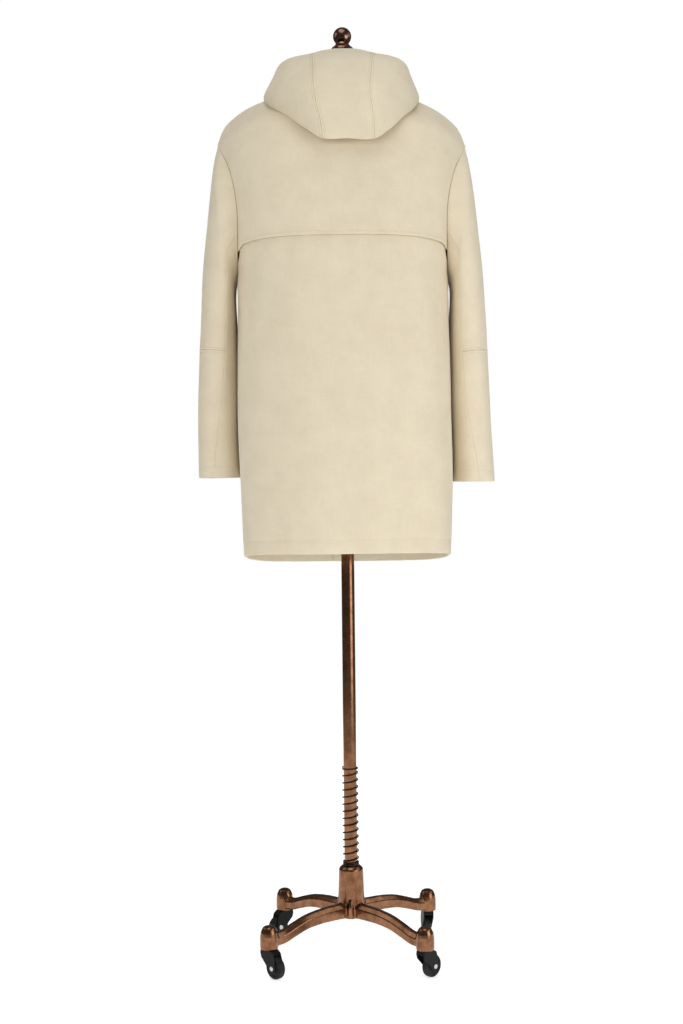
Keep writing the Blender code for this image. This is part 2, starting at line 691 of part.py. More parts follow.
def sleeve_point(angle, row):
    """Point of the left sleeve; 0 degrees is its outer line and 90 its back."""
    angle = (angle + 180.0) % 360.0 - 180.0
    turn = math.radians(angle)
    exponent = 2.0 / SLEEVE_FULLNESS
    edge = armhole_point(abs(angle))
    points = [Vector((edge.x, math.copysign(edge.y, angle), edge.z))]
    for section in SLEEVE_ROWS:
        outer = Vector((section.outer_x, section.centre_y, section.outer_z))
        inner = Vector((section.inner_x, section.centre_y, section.inner_z))
        depth = Vector((0.0, section.depth * power(math.sin(turn), exponent), 0.0))
        points.append((outer + inner) * 0.5 + (outer - inner) * (0.5 * power(math.cos(turn),
                                                                             exponent)) + depth)
    return smooth(range(len(points)), points, row)


def back_seam_angle(row):
    """Angle of the sleeve's back seam, which sweeps outward below the elbow."""
    return smooth(BACK_SEAM_ROWS, BACK_SEAM_ANGLES, row)


def sleeve_normal(angle, row):
    """Outward direction of the sleeve's surface."""
    angle = (angle + 180.0) % 360.0 - 180.0
    if row == 0.0:
        return armhole_normal(angle)
    around = sleeve_point(angle + TURN_STEP, row) - sleeve_point(angle - TURN_STEP, row)
    down = sleeve_point(angle, row + SLOPE_STEP) - sleeve_point(angle, row - SLOPE_STEP)
    return down.cross(around).normalized()


def sleeve_grid(rows, limits, columns):
    """Grid of a sleeve panel and its normals; limits gives its end angles at a row."""
    grid = []
    normals = []
    for row in rows:
        first, last = limits(row)
        angles = [first + (last - first) * c / columns for c in range(columns + 1)]
        grid.append([sleeve_point(angle, row) for angle in angles])
        normals.append([sleeve_normal(angle, row) for angle in angles])
    return grid, normals


def build_sleeve(side, cloth):
    """One sleeve of three panels: outer above and below the elbow seam, and the under piece."""
    def outer(row):
        return -SLEEVE_SEAM_ANGLE, back_seam_angle(row)

    def under(row):
        return back_seam_angle(row), 360.0 - SLEEVE_SEAM_ANGLE

    upper_rows = [row for row in SLEEVE_STATIONS if row <= ELBOW_ROW]
    lower_rows = [row for row in SLEEVE_STATIONS if row >= ELBOW_ROW]
    panels = (
        (f"sleeve_{side}_upper_outer", upper_rows, outer, OUTER_COLUMNS),
        (f"sleeve_{side}_lower_outer", lower_rows, outer, OUTER_COLUMNS),
        (f"sleeve_{side}_under", SLEEVE_STATIONS, under, UNDER_COLUMNS),
    )
    for name, rows, limits, columns in panels:
        grid, normals = sleeve_grid(rows, limits, columns)
        for row, points in zip(rows, grid):
            for point in points:
                point.z += smooth(SLEEVE_RISE_ROWS, SLEEVE_RISE[side], row)
        piece = wall(name, grid, normals, cloth)
        if side == "right":
            mirror(piece)


# Hood

def hood_point(angle, share):
    """Point of the hood; share runs from 0 at the neck seam to 1 at the rim."""
    if share <= 0.0:
        point = neck_point(abs(angle))
        point.x = math.copysign(point.x, angle)
        return point + Vector((0.0, 0.0, LAYER_GAP))
    last = len(HOOD_POINTS) - 1
    angles = (-HOOD_ANGLES[1],) + HOOD_ANGLES
    at = abs(angle)
    radii = []
    heights = []
    for point in HOOD_POINTS:
        radii.append(smooth(angles, (point.radius[1],) + point.radius, at))
        heights.append(smooth(angles, (point.height[1],) + point.height, at))
    radius = smooth(range(last + 1), radii, share * last)
    height = smooth(range(last + 1), heights, share * last)
    turn = math.radians(angle)
    return Vector((radius * math.sin(turn), NECK_Y + radius * math.cos(turn), height))


def gusset_angle(share):
    """Angle of the gusset's side seam at a place from the neck seam to the rim."""
    last = len(HOOD_POINTS) - 1
    if share <= 0.0:
        return 2.0 * NECK_STEP
    half_width = smooth(GUSSET_POINTS, GUSSET_HALF_WIDTH, share * last)
    angle = GUSSET_START_ANGLE
    for _ in range(GUSSET_TRIES):
        reach = hood_point(angle, share)
        radius = math.hypot(reach.x, reach.y - NECK_Y)
        angle = math.degrees(math.asin(half_width / radius))
    return angle


def build_hood(cloth):
    """Hood laid back on the shoulders: a centre gusset between two side panels."""
    gusset = []
    side = []
    for r in range(HOOD_ROWS + 1):
        share = r / HOOD_ROWS
        half = gusset_angle(share)
        gusset.append([hood_point(half * (2.0 * c / GUSSET_COLUMNS - 1.0), share)
                       for c in range(GUSSET_COLUMNS + 1)])
        side.append([hood_point(half + (HOOD_FRONT_ANGLE - half) * c / HOOD_SIDE_COLUMNS, share)
                     for c in range(HOOD_SIDE_COLUMNS + 1)])
    past_left = [line[1] for line in side]
    past_right = [Vector((-point.x, point.y, point.z)) for point in past_left]
    wall("hood_gusset", gusset, grid_normals(gusset, -1.0, past_right, past_left), cloth)
    normals = grid_normals(side, -1.0, [line[-2] for line in gusset])
    wall("hood_left", side, normals, cloth)
    mirror(wall("hood_right", side, normals, cloth))


# Turned and swept pieces

def turned(name, profile, material, sides, closed=False, turn=0.0, smooth_angle=35.0):
    """Solid turned about Z from (radius, z) points, bottom to top; closed leaves a bore."""
    bm = bmesh.new()
    rings = []
    for radius, z in profile:
        if radius == 0.0:
            rings.append([bm.verts.new((0.0, 0.0, z))])
        else:
            rings.append([bm.verts.new((radius * math.cos(turn + math.tau * k / sides),
                                        radius * math.sin(turn + math.tau * k / sides), z))
                          for k in range(sides)])
    pairs = list(zip(rings, rings[1:]))
    if closed:
        pairs.append((rings[-1], rings[0]))
    for low, high in pairs:
        for k in range(sides):
            n = (k + 1) % sides
            if len(low) == 1:
                bm.faces.new((low[0], high[n], high[k]))
            elif len(high) == 1:
                bm.faces.new((low[k], low[n], high[0]))
            else:
                bm.faces.new((low[k], low[n], high[n], high[k]))
    if not closed:
        for ring in (rings[0], rings[-1]):
            if len(ring) > 1:
                bm.faces.new(ring)
    return add_object(name, bm, material, smooth_angle)


def build_form(linen):
    """Smooth limbless torso with a flat underside."""
    bm = bmesh.new()
    rings = []
    for row in FORM_ROWS:
        ring = []
        for k in range(FORM_SIDES):
            turn = math.tau * k / FORM_SIDES
            fullness = 2.0 / row.fullness
            ring.append(bm.verts.new((row.half_width * power(math.cos(turn), fullness),
                                      row.half_depth * power(math.sin(turn), fullness), row.z)))
        rings.append(ring)
    for low, high in zip(rings, rings[1:]):
        for k in range(FORM_SIDES):
            n = (k + 1) % FORM_SIDES
            bm.faces.new((low[k], low[n], high[n], high[k]))
    bm.faces.new(rings[0])
    bm.faces.new(rings[-1])
    add_object("dress_form", bm, linen, smooth_angle=50.0)


def build_neck(bronze, cap_paint):
    """Low domed neck cap and the ball knob on it."""
    turned("neck_cap", [(r, NECK_CAP_BOTTOM + z) for r, z in NECK_CAP_PROFILE], cap_paint, 28)
    ball = []
    start = math.asin(KNOB_FOOT[-1][0] / KNOB_RADIUS)
    for k in range(KNOB_STEPS + 1):
        angle = (math.pi - start) * (1.0 - k / KNOB_STEPS)
        ball.append((KNOB_RADIUS * math.sin(angle) if k < KNOB_STEPS else 0.0,
                     KNOB_CENTRE + KNOB_RADIUS * math.cos(angle)))
    profile = [(r, KNOB_BOTTOM + z) for r, z in KNOB_FOOT[:-1] + tuple(ball)]
    turned("knob", profile, bronze, ROUND_SIDES)


def build_pole(bronze, steel):
    """Tube with a long bore, the rod that slides in it, its flange and the clamp collar."""
    turned("pole", [(POLE_RADIUS, POLE_BOTTOM), (POLE_RADIUS, POLE_TOP), (BORE_RADIUS, POLE_TOP),
                    (BORE_RADIUS, BORE_BOTTOM), (0.0, BORE_BOTTOM)], bronze, ROUND_SIDES)
    flange_top = FORM_BOTTOM - GAP
    flange_bottom = flange_top - FLANGE_THICKNESS
    turned("height_rod", [(ROD_RADIUS, ROD_BOTTOM), (ROD_RADIUS, flange_bottom),
                          (FLANGE_RADIUS, flange_bottom), (FLANGE_RADIUS, flange_top)],
           steel, ROUND_SIDES)
    collar_inner = POLE_RADIUS / math.cos(math.pi / ROUND_SIDES) + GAP
    top = POLE_TOP + COLLAR_RISE
    turned("pole_collar", [(collar_inner, top - COLLAR_HEIGHT), (COLLAR_RADIUS, top - COLLAR_HEIGHT),
                           (COLLAR_RADIUS, top - EDGE_BEVEL), (COLLAR_RADIUS - EDGE_BEVEL, top),
                           (collar_inner, top)], bronze, ROUND_SIDES, closed=True)


def build_hub(bronze):
    """Hub with a blind socket for the pole."""
    socket = POLE_RADIUS / math.cos(math.pi / ROUND_SIDES) + GAP
    turned("hub", [(HUB_BOTTOM_RADIUS - EDGE_BEVEL, HUB_BOTTOM),
                   (HUB_BOTTOM_RADIUS, HUB_BOTTOM + EDGE_BEVEL),
                   (HUB_BOTTOM_RADIUS, HUB_FOOT_TOP),
                   (HUB_TOP_RADIUS, HUB_TOP - HUB_SHOULDER),
                   (HUB_TOP_RADIUS - HUB_SHOULDER, HUB_TOP),
                   (socket, HUB_TOP), (socket, POLE_BOTTOM - GAP), (0.0, POLE_BOTTOM - GAP)],
           bronze, ROUND_SIDES)


def spring_height(turns):
    """Height of the wire's centre after a number of turns, closed at both ends."""
    low = HUB_TOP + GAP + WIRE_RADIUS
    closed = 2.0 * WIRE_RADIUS + GAP
    open_pitch = ((SPRING_TOP - WIRE_RADIUS - low
                   - closed * (CLOSED_TURNS_BELOW + CLOSED_TURNS_ABOVE)) / OPEN_TURNS)
    below = min(turns, CLOSED_TURNS_BELOW)
    middle = min(max(turns - CLOSED_TURNS_BELOW, 0.0), OPEN_TURNS)
    above = max(turns - CLOSED_TURNS_BELOW - OPEN_TURNS, 0.0)
    return low + closed * (below + above) + open_pitch * middle


def build_spring(wire):
    """Round wire coiled about the pole."""
    radius = POLE_RADIUS / math.cos(math.pi / ROUND_SIDES) + GAP + WIRE_RADIUS
    turns = CLOSED_TURNS_BELOW + OPEN_TURNS + CLOSED_TURNS_ABOVE
    steps = turns * SPRING_STEPS
    bm = bmesh.new()
    rings = []
    for step in range(steps + 1):
        angle = math.tau * step / SPRING_STEPS
        out = Vector((math.cos(angle), math.sin(angle), 0.0))
        centre = out * (radius / math.cos(math.pi / SPRING_STEPS))
        centre.z = spring_height(step / SPRING_STEPS)
        ring = []
        for k in range(SPRING_SIDES):
            turn = math.tau * k / SPRING_SIDES
            upward = Vector((0.0, 0.0, WIRE_RADIUS * math.sin(turn)))
            ring.append(bm.verts.new(centre + out * (WIRE_RADIUS * math.cos(turn)) + upward))
        rings.append(ring)
    for low, high in zip(rings, rings[1:]):
        for k in range(SPRING_SIDES):
            n = (k + 1) % SPRING_SIDES
            bm.faces.new((low[k], low[n], high[n], high[k]))
    bm.faces.new(rings[0])
    bm.faces.new(rings[-1])
    add_object("spring", bm, wire, smooth_angle=60.0)


def leg_angle(number):
    """Direction of a leg in degrees, from +X."""
    return FIRST_LEG_ANGLE + 90.0 * number


def leg_foot(number):
    """Caster axis of a leg on the floor."""
    turn = math.radians(leg_angle(number))
    return Vector((LEG_REACH * math.cos(turn), LEG_REACH * math.sin(turn), 0.0))


def leg_section(row):
    """Bevelled section of a leg's bar, as (across, z) points."""
    half_width, half_height, bevel = row.width * 0.5, row.height * 0.5, LEG_BEVEL
    corners = []
    for across, up in ((1, -1), (1, 1), (-1, 1), (-1, -1)):
        near = (across * half_width, row.centre_z + up * (half_height - bevel))
        far = (across * (half_width - bevel), row.centre_z + up * half_height)
        corners += [near, far] if across * up > 0 else [far, near]
    return corners


def build_leg(name, number, bronze):
    """Arched bar with a domed end that holds a caster's stem."""
    bm = bmesh.new()
    rings = []
    places = [row.reach for row in LEG_ROWS]
    for step in range(LEG_STEPS + 1):
        reach = places[0] + (places[-1] - places[0]) * step / LEG_STEPS
        row = LegRow(reach, *(smooth(places, [getattr(r, column) for r in LEG_ROWS], reach)
                              for column in ("centre_z", "height", "width")))
        rings.append([bm.verts.new((reach, across, z)) for across, z in leg_section(row)])
    count = len(rings[0])
    for low, high in zip(rings, rings[1:]):
        for k in range(count):
            n = (k + 1) % count
            bm.faces.new((low[k], low[n], high[n], high[k]))
    bm.faces.new(rings[0])
    bm.faces.new(rings[-1])
    leg = add_object(name, bm, bronze)
    leg.rotation_euler.z = math.radians(leg_angle(number))

    dome = [(CAP_RADIUS * math.cos(math.radians(a)),
             CAP_SHOULDER + (CAP_TOP - CAP_SHOULDER) * math.sin(math.radians(a)))
            for a in CAP_DOME_ANGLES]
    foot = [(CAP_RADIUS - 0.5 * EDGE_BEVEL, CAP_BOTTOM), (CAP_RADIUS, CAP_BOTTOM + EDGE_BEVEL)]
    cap = turned(f"cap_of_{name}", foot + dome + [(0.0, CAP_TOP)], bronze, CAP_SIDES)
    cap.location = leg_foot(number)
    join(leg, cap)

    hub_room = turned(f"hub_room_of_{name}",
                      [(HUB_BOTTOM_RADIUS + GAP, HUB_BOTTOM - CUTTER_MARGIN),
                       (HUB_BOTTOM_RADIUS + GAP, HUB_TOP)],
                      bronze, ROUND_SIDES)
    cut(leg, hub_room)

    hole = STEM_RADIUS / math.cos(math.pi / AXLE_SIDES) + GAP
    socket = turned(f"socket_of_{name}",
                    [(hole, CAP_BOTTOM - CUTTER_MARGIN), (hole, FORK_TOP + STEM_LENGTH + GAP)],
                    bronze, AXLE_SIDES)
    socket.location = leg_foot(number)
    cut(leg, socket)


def fork_outline():
    """Side view of a fork as (trail, z) points, round at the stem and at the axle."""
    axle_z = wheel_axle_z()
    points = [(trail, FORK_TOP + z) for trail, z in FORK_BACK]
    for angle in FORK_EYE_ANGLES:
        turn = math.radians(angle)
        points.append((TRAIL + FORK_EYE_RADIUS * math.cos(turn),
                       axle_z + FORK_EYE_RADIUS * math.sin(turn)))
    trail, z = FORK_SHOULDER
    points.append((trail, axle_z + z))
    return points + [(trail, FORK_TOP + z) for trail, z in FORK_FRONT]


def wheel_axle_z():
    """Height of the axle: a flat of the tread's outline lies on the floor."""
    return WHEEL_RADIUS * math.cos(math.pi / WHEEL_SIDES)


def build_caster(name, number, heading, plastic, rubber, steel):
    """Fork with its stem, axle and wheel, trailing towards a heading in degrees."""
    place = Matrix.Translation(leg_foot(number)) @ Matrix.Rotation(math.radians(heading), 4, "Z")
    axle_z = wheel_axle_z()
    sideways = Matrix.Rotation(math.radians(90.0), 4, "X")

    bm = bmesh.new()
    half = FORK_WIDTH * 0.5
    outline = fork_outline()
    near = [bm.verts.new((u, -half, z)) for u, z in outline]
    far = [bm.verts.new((u, half, z)) for u, z in outline]
    for k in range(len(outline)):
        n = (k + 1) % len(outline)
        bm.faces.new((near[k], near[n], far[n], far[k]))
    bm.faces.new(near)
    bm.faces.new(far)
    fork = add_object(f"fork_{name}", bm, plastic)
    fork.matrix_world = place

    stem = turned(f"stem_of_{name}", [(STEM_RADIUS, FORK_TOP - STEM_ROOT),
                                      (STEM_RADIUS, FORK_TOP + STEM_LENGTH)], steel, AXLE_SIDES)
    stem.matrix_world = place
    join(fork, stem)

    slot_width = WHEEL_WIDTH + 2.0 * WHEEL_CLEARANCE
    slot_z = FORK_TOP - FORK_CROWN - 0.5 * FORK_SLOT_HEIGHT
    bm = bmesh.new()
    bmesh.ops.create_cube(bm, size=1.0)
    bmesh.ops.scale(bm, vec=(FORK_SLOT_LENGTH, slot_width, FORK_SLOT_HEIGHT), verts=bm.verts)
    bmesh.ops.translate(bm, vec=(0.0, 0.0, slot_z), verts=bm.verts)
    slot = add_object(f"slot_of_{name}", bm, plastic)
    slot.matrix_world = place
    cut(fork, slot)

    axle_place = place @ Matrix.Translation((TRAIL, 0.0, axle_z)) @ sideways
    hole_radius = AXLE_RADIUS / math.cos(math.pi / AXLE_SIDES) + GAP
    hole = turned(f"hole_of_{name}",
                  [(hole_radius, -CUTTER_MARGIN), (hole_radius, CUTTER_MARGIN)],
                  steel, AXLE_SIDES)
    hole.matrix_world = axle_place
    cut(fork, hole)

    reach = half + GAP
    axle = turned(f"axle_{name}",
                  [(AXLE_HEAD_RADIUS, -reach - AXLE_HEAD), (AXLE_HEAD_RADIUS, -reach),
                   (AXLE_RADIUS, -reach), (AXLE_RADIUS, reach), (AXLE_HEAD_RADIUS, reach),
                   (AXLE_HEAD_RADIUS, reach + AXLE_HEAD)], steel, AXLE_SIDES)
    axle.matrix_world = axle_place

    side = WHEEL_WIDTH * 0.5
    wheel = turned(f"wheel_{name}",
                   [(hole_radius, -side), (WHEEL_RADIUS - WHEEL_EDGE, -side),
                    (WHEEL_RADIUS, -side + WHEEL_EDGE), (WHEEL_RADIUS, side - WHEEL_EDGE),
                    (WHEEL_RADIUS - WHEEL_EDGE, side), (hole_radius, side)],
                   rubber, WHEEL_SIDES, closed=True, turn=math.pi / 2 + math.pi / WHEEL_SIDES)
    wheel.matrix_world = axle_place


def main():
    """Build the coat, the dress form and the stand."""
    clear_scene()
    cloth = finish("cream_wool", (0.72, 0.64, 0.48), 0.9)
    facing_cloth = finish("cream_facing", (0.75, 0.68, 0.53), 0.85)
    horn = finish("cream_horn", (0.55, 0.46, 0.33), 0.4)
    linen = finish("natural_linen", (0.70, 0.66, 0.58), 0.9)
    bronze = finish("aged_copper", (0.36, 0.17, 0.09), 0.32, 1.0)
    cap_paint = finish("dark_bronze", (0.08, 0.05, 0.035), 0.35, 1.0)
    wire = finish("dark_wire", (0.06, 0.045, 0.04), 0.35, 1.0)
    steel = finish("grey_steel", (0.45, 0.45, 0.45), 0.35, 1.0)
    plastic = finish("black_plastic", (0.012, 0.013, 0.012), 0.45)
    rubber = finish("dark_rubber", (0.03, 0.032, 0.03), 0.6)

    build_back(cloth)
    build_fronts(cloth, facing_cloth)
    build_buttons(horn)
    for side in ("left", "right"):
        build_sleeve(side, cloth)
    build_hood(cloth)
    build_form(linen)
    for obj in list(bpy.data.objects):
        hang(obj)
    build_neck(bronze, cap_paint)
    build_pole(bronze, steel)
    build_spring(wire)
    build_hub(bronze)
    for name, number, heading in CASTERS:
        build_leg(f"leg_{name}", number, bronze)
        build_caster(name, number, heading, plastic, rubber, steel)


main()
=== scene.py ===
"""Dressed model of a hooded wool coat on a dress form with a wheeled stand.

Metres, +Z up. The coat's back faces +Y, which is the side that the camera sees, and the wearer's
left is +X. Each panel of the coat is a fine cloth shell on the surface that the solids share, with
turned edges, seam grooves, topstitching and soft drape. The stand's pieces are turned, swept or
cast forms with metal, plastic and rubber finishes.
"""

import logging
import math
from collections.abc import Callable, Iterable, Sequence
from dataclasses import dataclass, field
from enum import Enum
from functools import lru_cache

import bmesh
import bpy
from mathutils import Matrix, Vector, noise


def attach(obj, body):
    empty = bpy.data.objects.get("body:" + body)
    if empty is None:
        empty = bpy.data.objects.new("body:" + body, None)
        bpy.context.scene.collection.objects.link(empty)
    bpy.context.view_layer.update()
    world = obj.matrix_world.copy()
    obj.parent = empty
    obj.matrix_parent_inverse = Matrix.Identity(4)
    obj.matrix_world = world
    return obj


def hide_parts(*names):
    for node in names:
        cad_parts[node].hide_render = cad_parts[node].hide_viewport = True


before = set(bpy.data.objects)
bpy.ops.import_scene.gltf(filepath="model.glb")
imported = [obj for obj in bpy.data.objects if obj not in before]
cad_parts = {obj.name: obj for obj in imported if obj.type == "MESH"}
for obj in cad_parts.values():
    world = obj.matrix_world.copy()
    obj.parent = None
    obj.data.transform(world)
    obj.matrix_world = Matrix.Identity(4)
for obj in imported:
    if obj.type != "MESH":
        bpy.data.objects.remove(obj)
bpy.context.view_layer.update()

LOG = logging.getLogger("coat_scene")
MM = 0.001
CURVE_SAMPLES = 160
LEAST_SPACING = 0.1 * MM
AXIS_RADIUS = 0.01 * MM
NO_LENGTH = 1e-9
SOFTEN_SHARE = 0.5
SOFTEN_TURNS = 3

Grid = list[list[Vector]]
Colour = tuple[float, float, float]


def smooth(knots: Sequence[float], values: Sequence, place: float):
    """Read a smooth curve through a table.

    Args:
        knots: rising places of the table.
        values: numbers or vectors at those places.
        place: where to read; it is held within the table.

    Returns:
        The number or vector there.
    """
    last = len(knots) - 1
    place = min(max(place, knots[0]), knots[last])
    i = 0
    while i < last - 1 and place > knots[i + 1]:
        i += 1

    def slope(k: int):
        before = (values[k] - values[k - 1]) / (knots[k] - knots[k - 1]) if k > 0 else None
        after = (values[k + 1] - values[k]) / (knots[k + 1] - knots[k]) if k < last else None
        if before is None:
            return after
        return before if after is None else (before + after) * 0.5

    span = knots[i + 1] - knots[i]
    f = (place - knots[i]) / span
    rise = f * f * (3.0 - 2.0 * f)
    return (values[i] * (1.0 - rise) + values[i + 1] * rise
            + slope(i) * (span * f * (1.0 - f) ** 2)
            - slope(i + 1) * (span * f * f * (1.0 - f)))


def ease(value: float) -> float:
    """Smooth step from 0 to 1."""
    value = min(max(value, 0.0), 1.0)
    return value * value * (3.0 - 2.0 * value)


def power(value: float, exponent: float) -> float:
    """Signed power, for superellipse sections."""
    return math.copysign(abs(value) ** exponent, value)


def bell(distance: float, width: float) -> float:
    """Bell curve of height 1 and the given half width."""
    return math.exp(-(distance / width) ** 2)


def mirrored(point: Vector) -> Vector:
    """The point's reflection in the YZ plane."""
    return Vector((-point.x, point.y, point.z))


class Body(Enum):
    """Moving bodies of the part that pieces ride on."""

    STAND = "stand"
    ROD = "rod"
    FORM = "form"


class Side(Enum):
    """The wearer's sides, with their direction along X."""

    LEFT = 1.0
    RIGHT = -1.0

    @property
    def word(self) -> str:
        """The side's name as the nodes spell it."""
        return self.name.lower()


class Edge(Enum):
    """Edges of a panel's grid."""

    START_ROW = "start_row"
    END_ROW = "end_row"
    START_COLUMN = "start_column"
    END_COLUMN = "end_column"


class Hold(Enum):
    DRAPED = "draped"
    HUNG = "hung"


# Finishes


class Graph:
    """Nodes of one material, added and linked by short calls."""

    def __init__(self, name: str) -> None:
        """Start a material with a Principled shader.

        Args:
            name: the material's name.
        """
        self.material = bpy.data.materials.new(name)
        self.material.use_nodes = True
        self.tree = self.material.node_tree
        self.shader = self.tree.nodes["Principled BSDF"]
        self.place = self.tree.nodes.new("ShaderNodeTexCoord").outputs["Object"]

    def add(self, kind: str, inputs: dict | None = None, **settings):
        """Add a node.

        Args:
            kind: the node's type.
            inputs: values or sockets by input name or number.
            **settings: attributes of the node.

        Returns:
            The node.
        """
        node = self.tree.nodes.new(kind)
        for key, value in settings.items():
            setattr(node, key, value)
        for key, value in (inputs or {}).items():
            if isinstance(value, bpy.types.NodeSocket):
                self.tree.links.new(value, node.inputs[key])
            else:
                node.inputs[key].default_value = value
        return node

    def set(self, **values) -> None:
        """Set the shader's sockets, named with underscores for spaces."""
        for key, value in values.items():
            name = key.replace("_", " ")
            if isinstance(value, bpy.types.NodeSocket):
                self.tree.links.new(value, self.shader.inputs[name])
            else:
                self.shader.inputs[name].default_value = value

    def noise(self, scale: float, detail: float = 2.0,
              stretch: tuple[float, float, float] = (1.0, 1.0, 1.0)):
        """Noise over the surface.

        Args:
            scale: features per metre.
            detail: octaves.
            stretch: scale along each axis.

        Returns:
            The factor socket.
        """
        mapping = self.add("ShaderNodeMapping", {"Vector": self.place, "Scale": stretch})
        node = self.add("ShaderNodeTexNoise", {"Vector": mapping.outputs[0], "Scale": scale,
                                               "Detail": detail})
        return node.outputs[0]

    def wave(self, scale: float, axis: str, distortion: float = 0.6):
        """Bands across one axis, such as the threads of a weave.

        Args:
            scale: bands per metre, about.
            axis: X, Y or Z.
            distortion: how far the bands wander.

        Returns:
            The factor socket.
        """
        node = self.add("ShaderNodeTexWave", {"Vector": self.place, "Scale": scale,
                                              "Distortion": distortion, "Detail": 1.0},
                        bands_direction=axis)
        return node.outputs["Fac"]

    def math(self, operation: str, first, second):
        """One step of arithmetic on sockets or numbers."""
        return self.add("ShaderNodeMath", {0: first, 1: second}, operation=operation).outputs[0]

    def blend(self, factor, first: Colour, second: Colour, low: float = 0.3, high: float = 0.7):
        """Colour that runs between two colours.

        Args:
            factor: socket that picks the place.
            first: colour at the low end.
            second: colour at the high end.
            low: factor where the change starts.
            high: factor where it ends.

        Returns:
            The colour socket.
        """
        node = self.add("ShaderNodeValToRGB", {"Fac": factor})
        ramp = node.color_ramp
        ramp.elements[0].position = low
        ramp.elements[0].color = (*first, 1.0)
        ramp.elements[1].position = high
        ramp.elements[1].color = (*second, 1.0)
        return node.outputs["Color"]

    def spread(self, factor, low: float, high: float):
        """A factor mapped to a range of numbers."""
        node = self.add("ShaderNodeMapRange", {"Value": factor, "To Min": low, "To Max": high})
        return node.outputs[0]

    def bump(self, height, strength: float, distance: float, under=None):
        """Bump from a height socket, over an earlier bump if one is given."""
        inputs = {"Height": height, "Strength": strength, "Distance": distance}
        if under is not None:
            inputs["Normal"] = under
        return self.add("ShaderNodeBump", inputs).outputs[0]


@dataclass(frozen=True)
class WoolFinish:
    """Thick felted wool: a soft nap over a faint twill, slightly mottled."""

    name: str
    colour: Colour
    shade: Colour
    nap: float = 520.0
    relief: float = 0.5
    sheen: float = 0.22

    def build(self) -> bpy.types.Material:
        """Make the material."""
        graph = Graph(self.name)
        mottle = graph.noise(26.0, 4.0)
        nap = graph.noise(self.nap, 4.0)
        warp = graph.noise(self.nap * 0.5, 2.0, (1.0, 1.0, 0.16))
        weft = graph.noise(self.nap * 0.5, 2.0, (0.2, 0.2, 1.0))
        weave = graph.math("MULTIPLY", graph.math("ADD", warp, weft), 0.5)
        mixed = graph.math("ADD", graph.math("MULTIPLY", mottle, 0.45),
                           graph.math("MULTIPLY", graph.math("ADD", nap, weave), 0.275))
        rough = graph.bump(nap, self.relief, 0.35 * MM)
        graph.set(Base_Color=graph.blend(mixed, self.shade, self.colour, 0.30, 0.62),
                  Roughness=0.92, Specular_IOR_Level=0.25, Sheen_Weight=self.sheen,
                  Sheen_Roughness=0.45,
                  Normal=graph.bump(weave, self.relief * 0.8, 0.5 * MM, rough))
        return graph.material


@dataclass(frozen=True)
class WovenFinish:
    """Plain-woven cloth with visible threads both ways."""

    name: str
    colour: Colour
    shade: Colour
    threads: float = 340.0

    def build(self) -> bpy.types.Material:
        """Make the material."""
        graph = Graph(self.name)
        upright = graph.wave(self.threads, "X")
        level = graph.wave(self.threads, "Z")
        weave = graph.math("MAXIMUM", upright, level)
        slub = graph.noise(90.0, 3.0, (1.0, 1.0, 0.25))
        tone = graph.math("ADD", graph.math("MULTIPLY", weave, 0.4),
                          graph.math("MULTIPLY", slub, 0.6))
        graph.set(Base_Color=graph.blend(tone, self.shade, self.colour, 0.25, 0.7),
                  Roughness=0.9, Specular_IOR_Level=0.3, Sheen_Weight=0.12,
                  Normal=graph.bump(weave, 0.35, 0.3 * MM))
        return graph.material


@dataclass(frozen=True)
class MetalFinish:
    """Plated or bare metal with uneven tone, fine brushing and softened wear."""

    name: str
    colour: Colour
    tarnish: Colour
    roughness: tuple[float, float] = (0.16, 0.30)
    grain: float = 60.0
    relief: float = 0.12
    stretch: tuple[float, float, float] = (1.0, 1.0, 0.15)

    def build(self) -> bpy.types.Material:
        """Make the material."""
        graph = Graph(self.name)
        cloud = graph.noise(self.grain, 5.0)
        brush = graph.noise(self.grain * 12.0, 3.0, self.stretch)
        tone = graph.math("ADD", graph.math("MULTIPLY", cloud, 0.7),
                          graph.math("MULTIPLY", brush, 0.3))
        graph.set(Base_Color=graph.blend(tone, self.tarnish, self.colour, 0.34, 0.60),
                  Metallic=1.0, Roughness=graph.spread(tone, self.roughness[1],
                                                       self.roughness[0]),
                  Normal=graph.bump(tone, self.relief, 0.25 * MM))
        return graph.material


@dataclass(frozen=True)
class MouldedFinish:
    """Moulded plastic, horn or rubber with a fine grained skin and some scuffing."""

    name: str
    colour: Colour
    scuff: Colour
    roughness: tuple[float, float] = (0.35, 0.55)
    grain: float = 700.0
    relief: float = 0.15
    coat: float = 0.0
    shine: float = 0.5

    def build(self) -> bpy.types.Material:
        """Make the material."""
        graph = Graph(self.name)
        skin = graph.noise(self.grain, 3.0)
        scuffs = graph.noise(self.grain * 0.12, 5.0)
        graph.set(Base_Color=graph.blend(scuffs, self.colour, self.scuff, 0.45, 0.8),
                  Roughness=graph.spread(scuffs, self.roughness[0], self.roughness[1]),
                  Coat_Weight=self.coat, Coat_Roughness=0.25, Specular_IOR_Level=self.shine,
                  Normal=graph.bump(skin, self.relief, 0.2 * MM))
        return graph.material


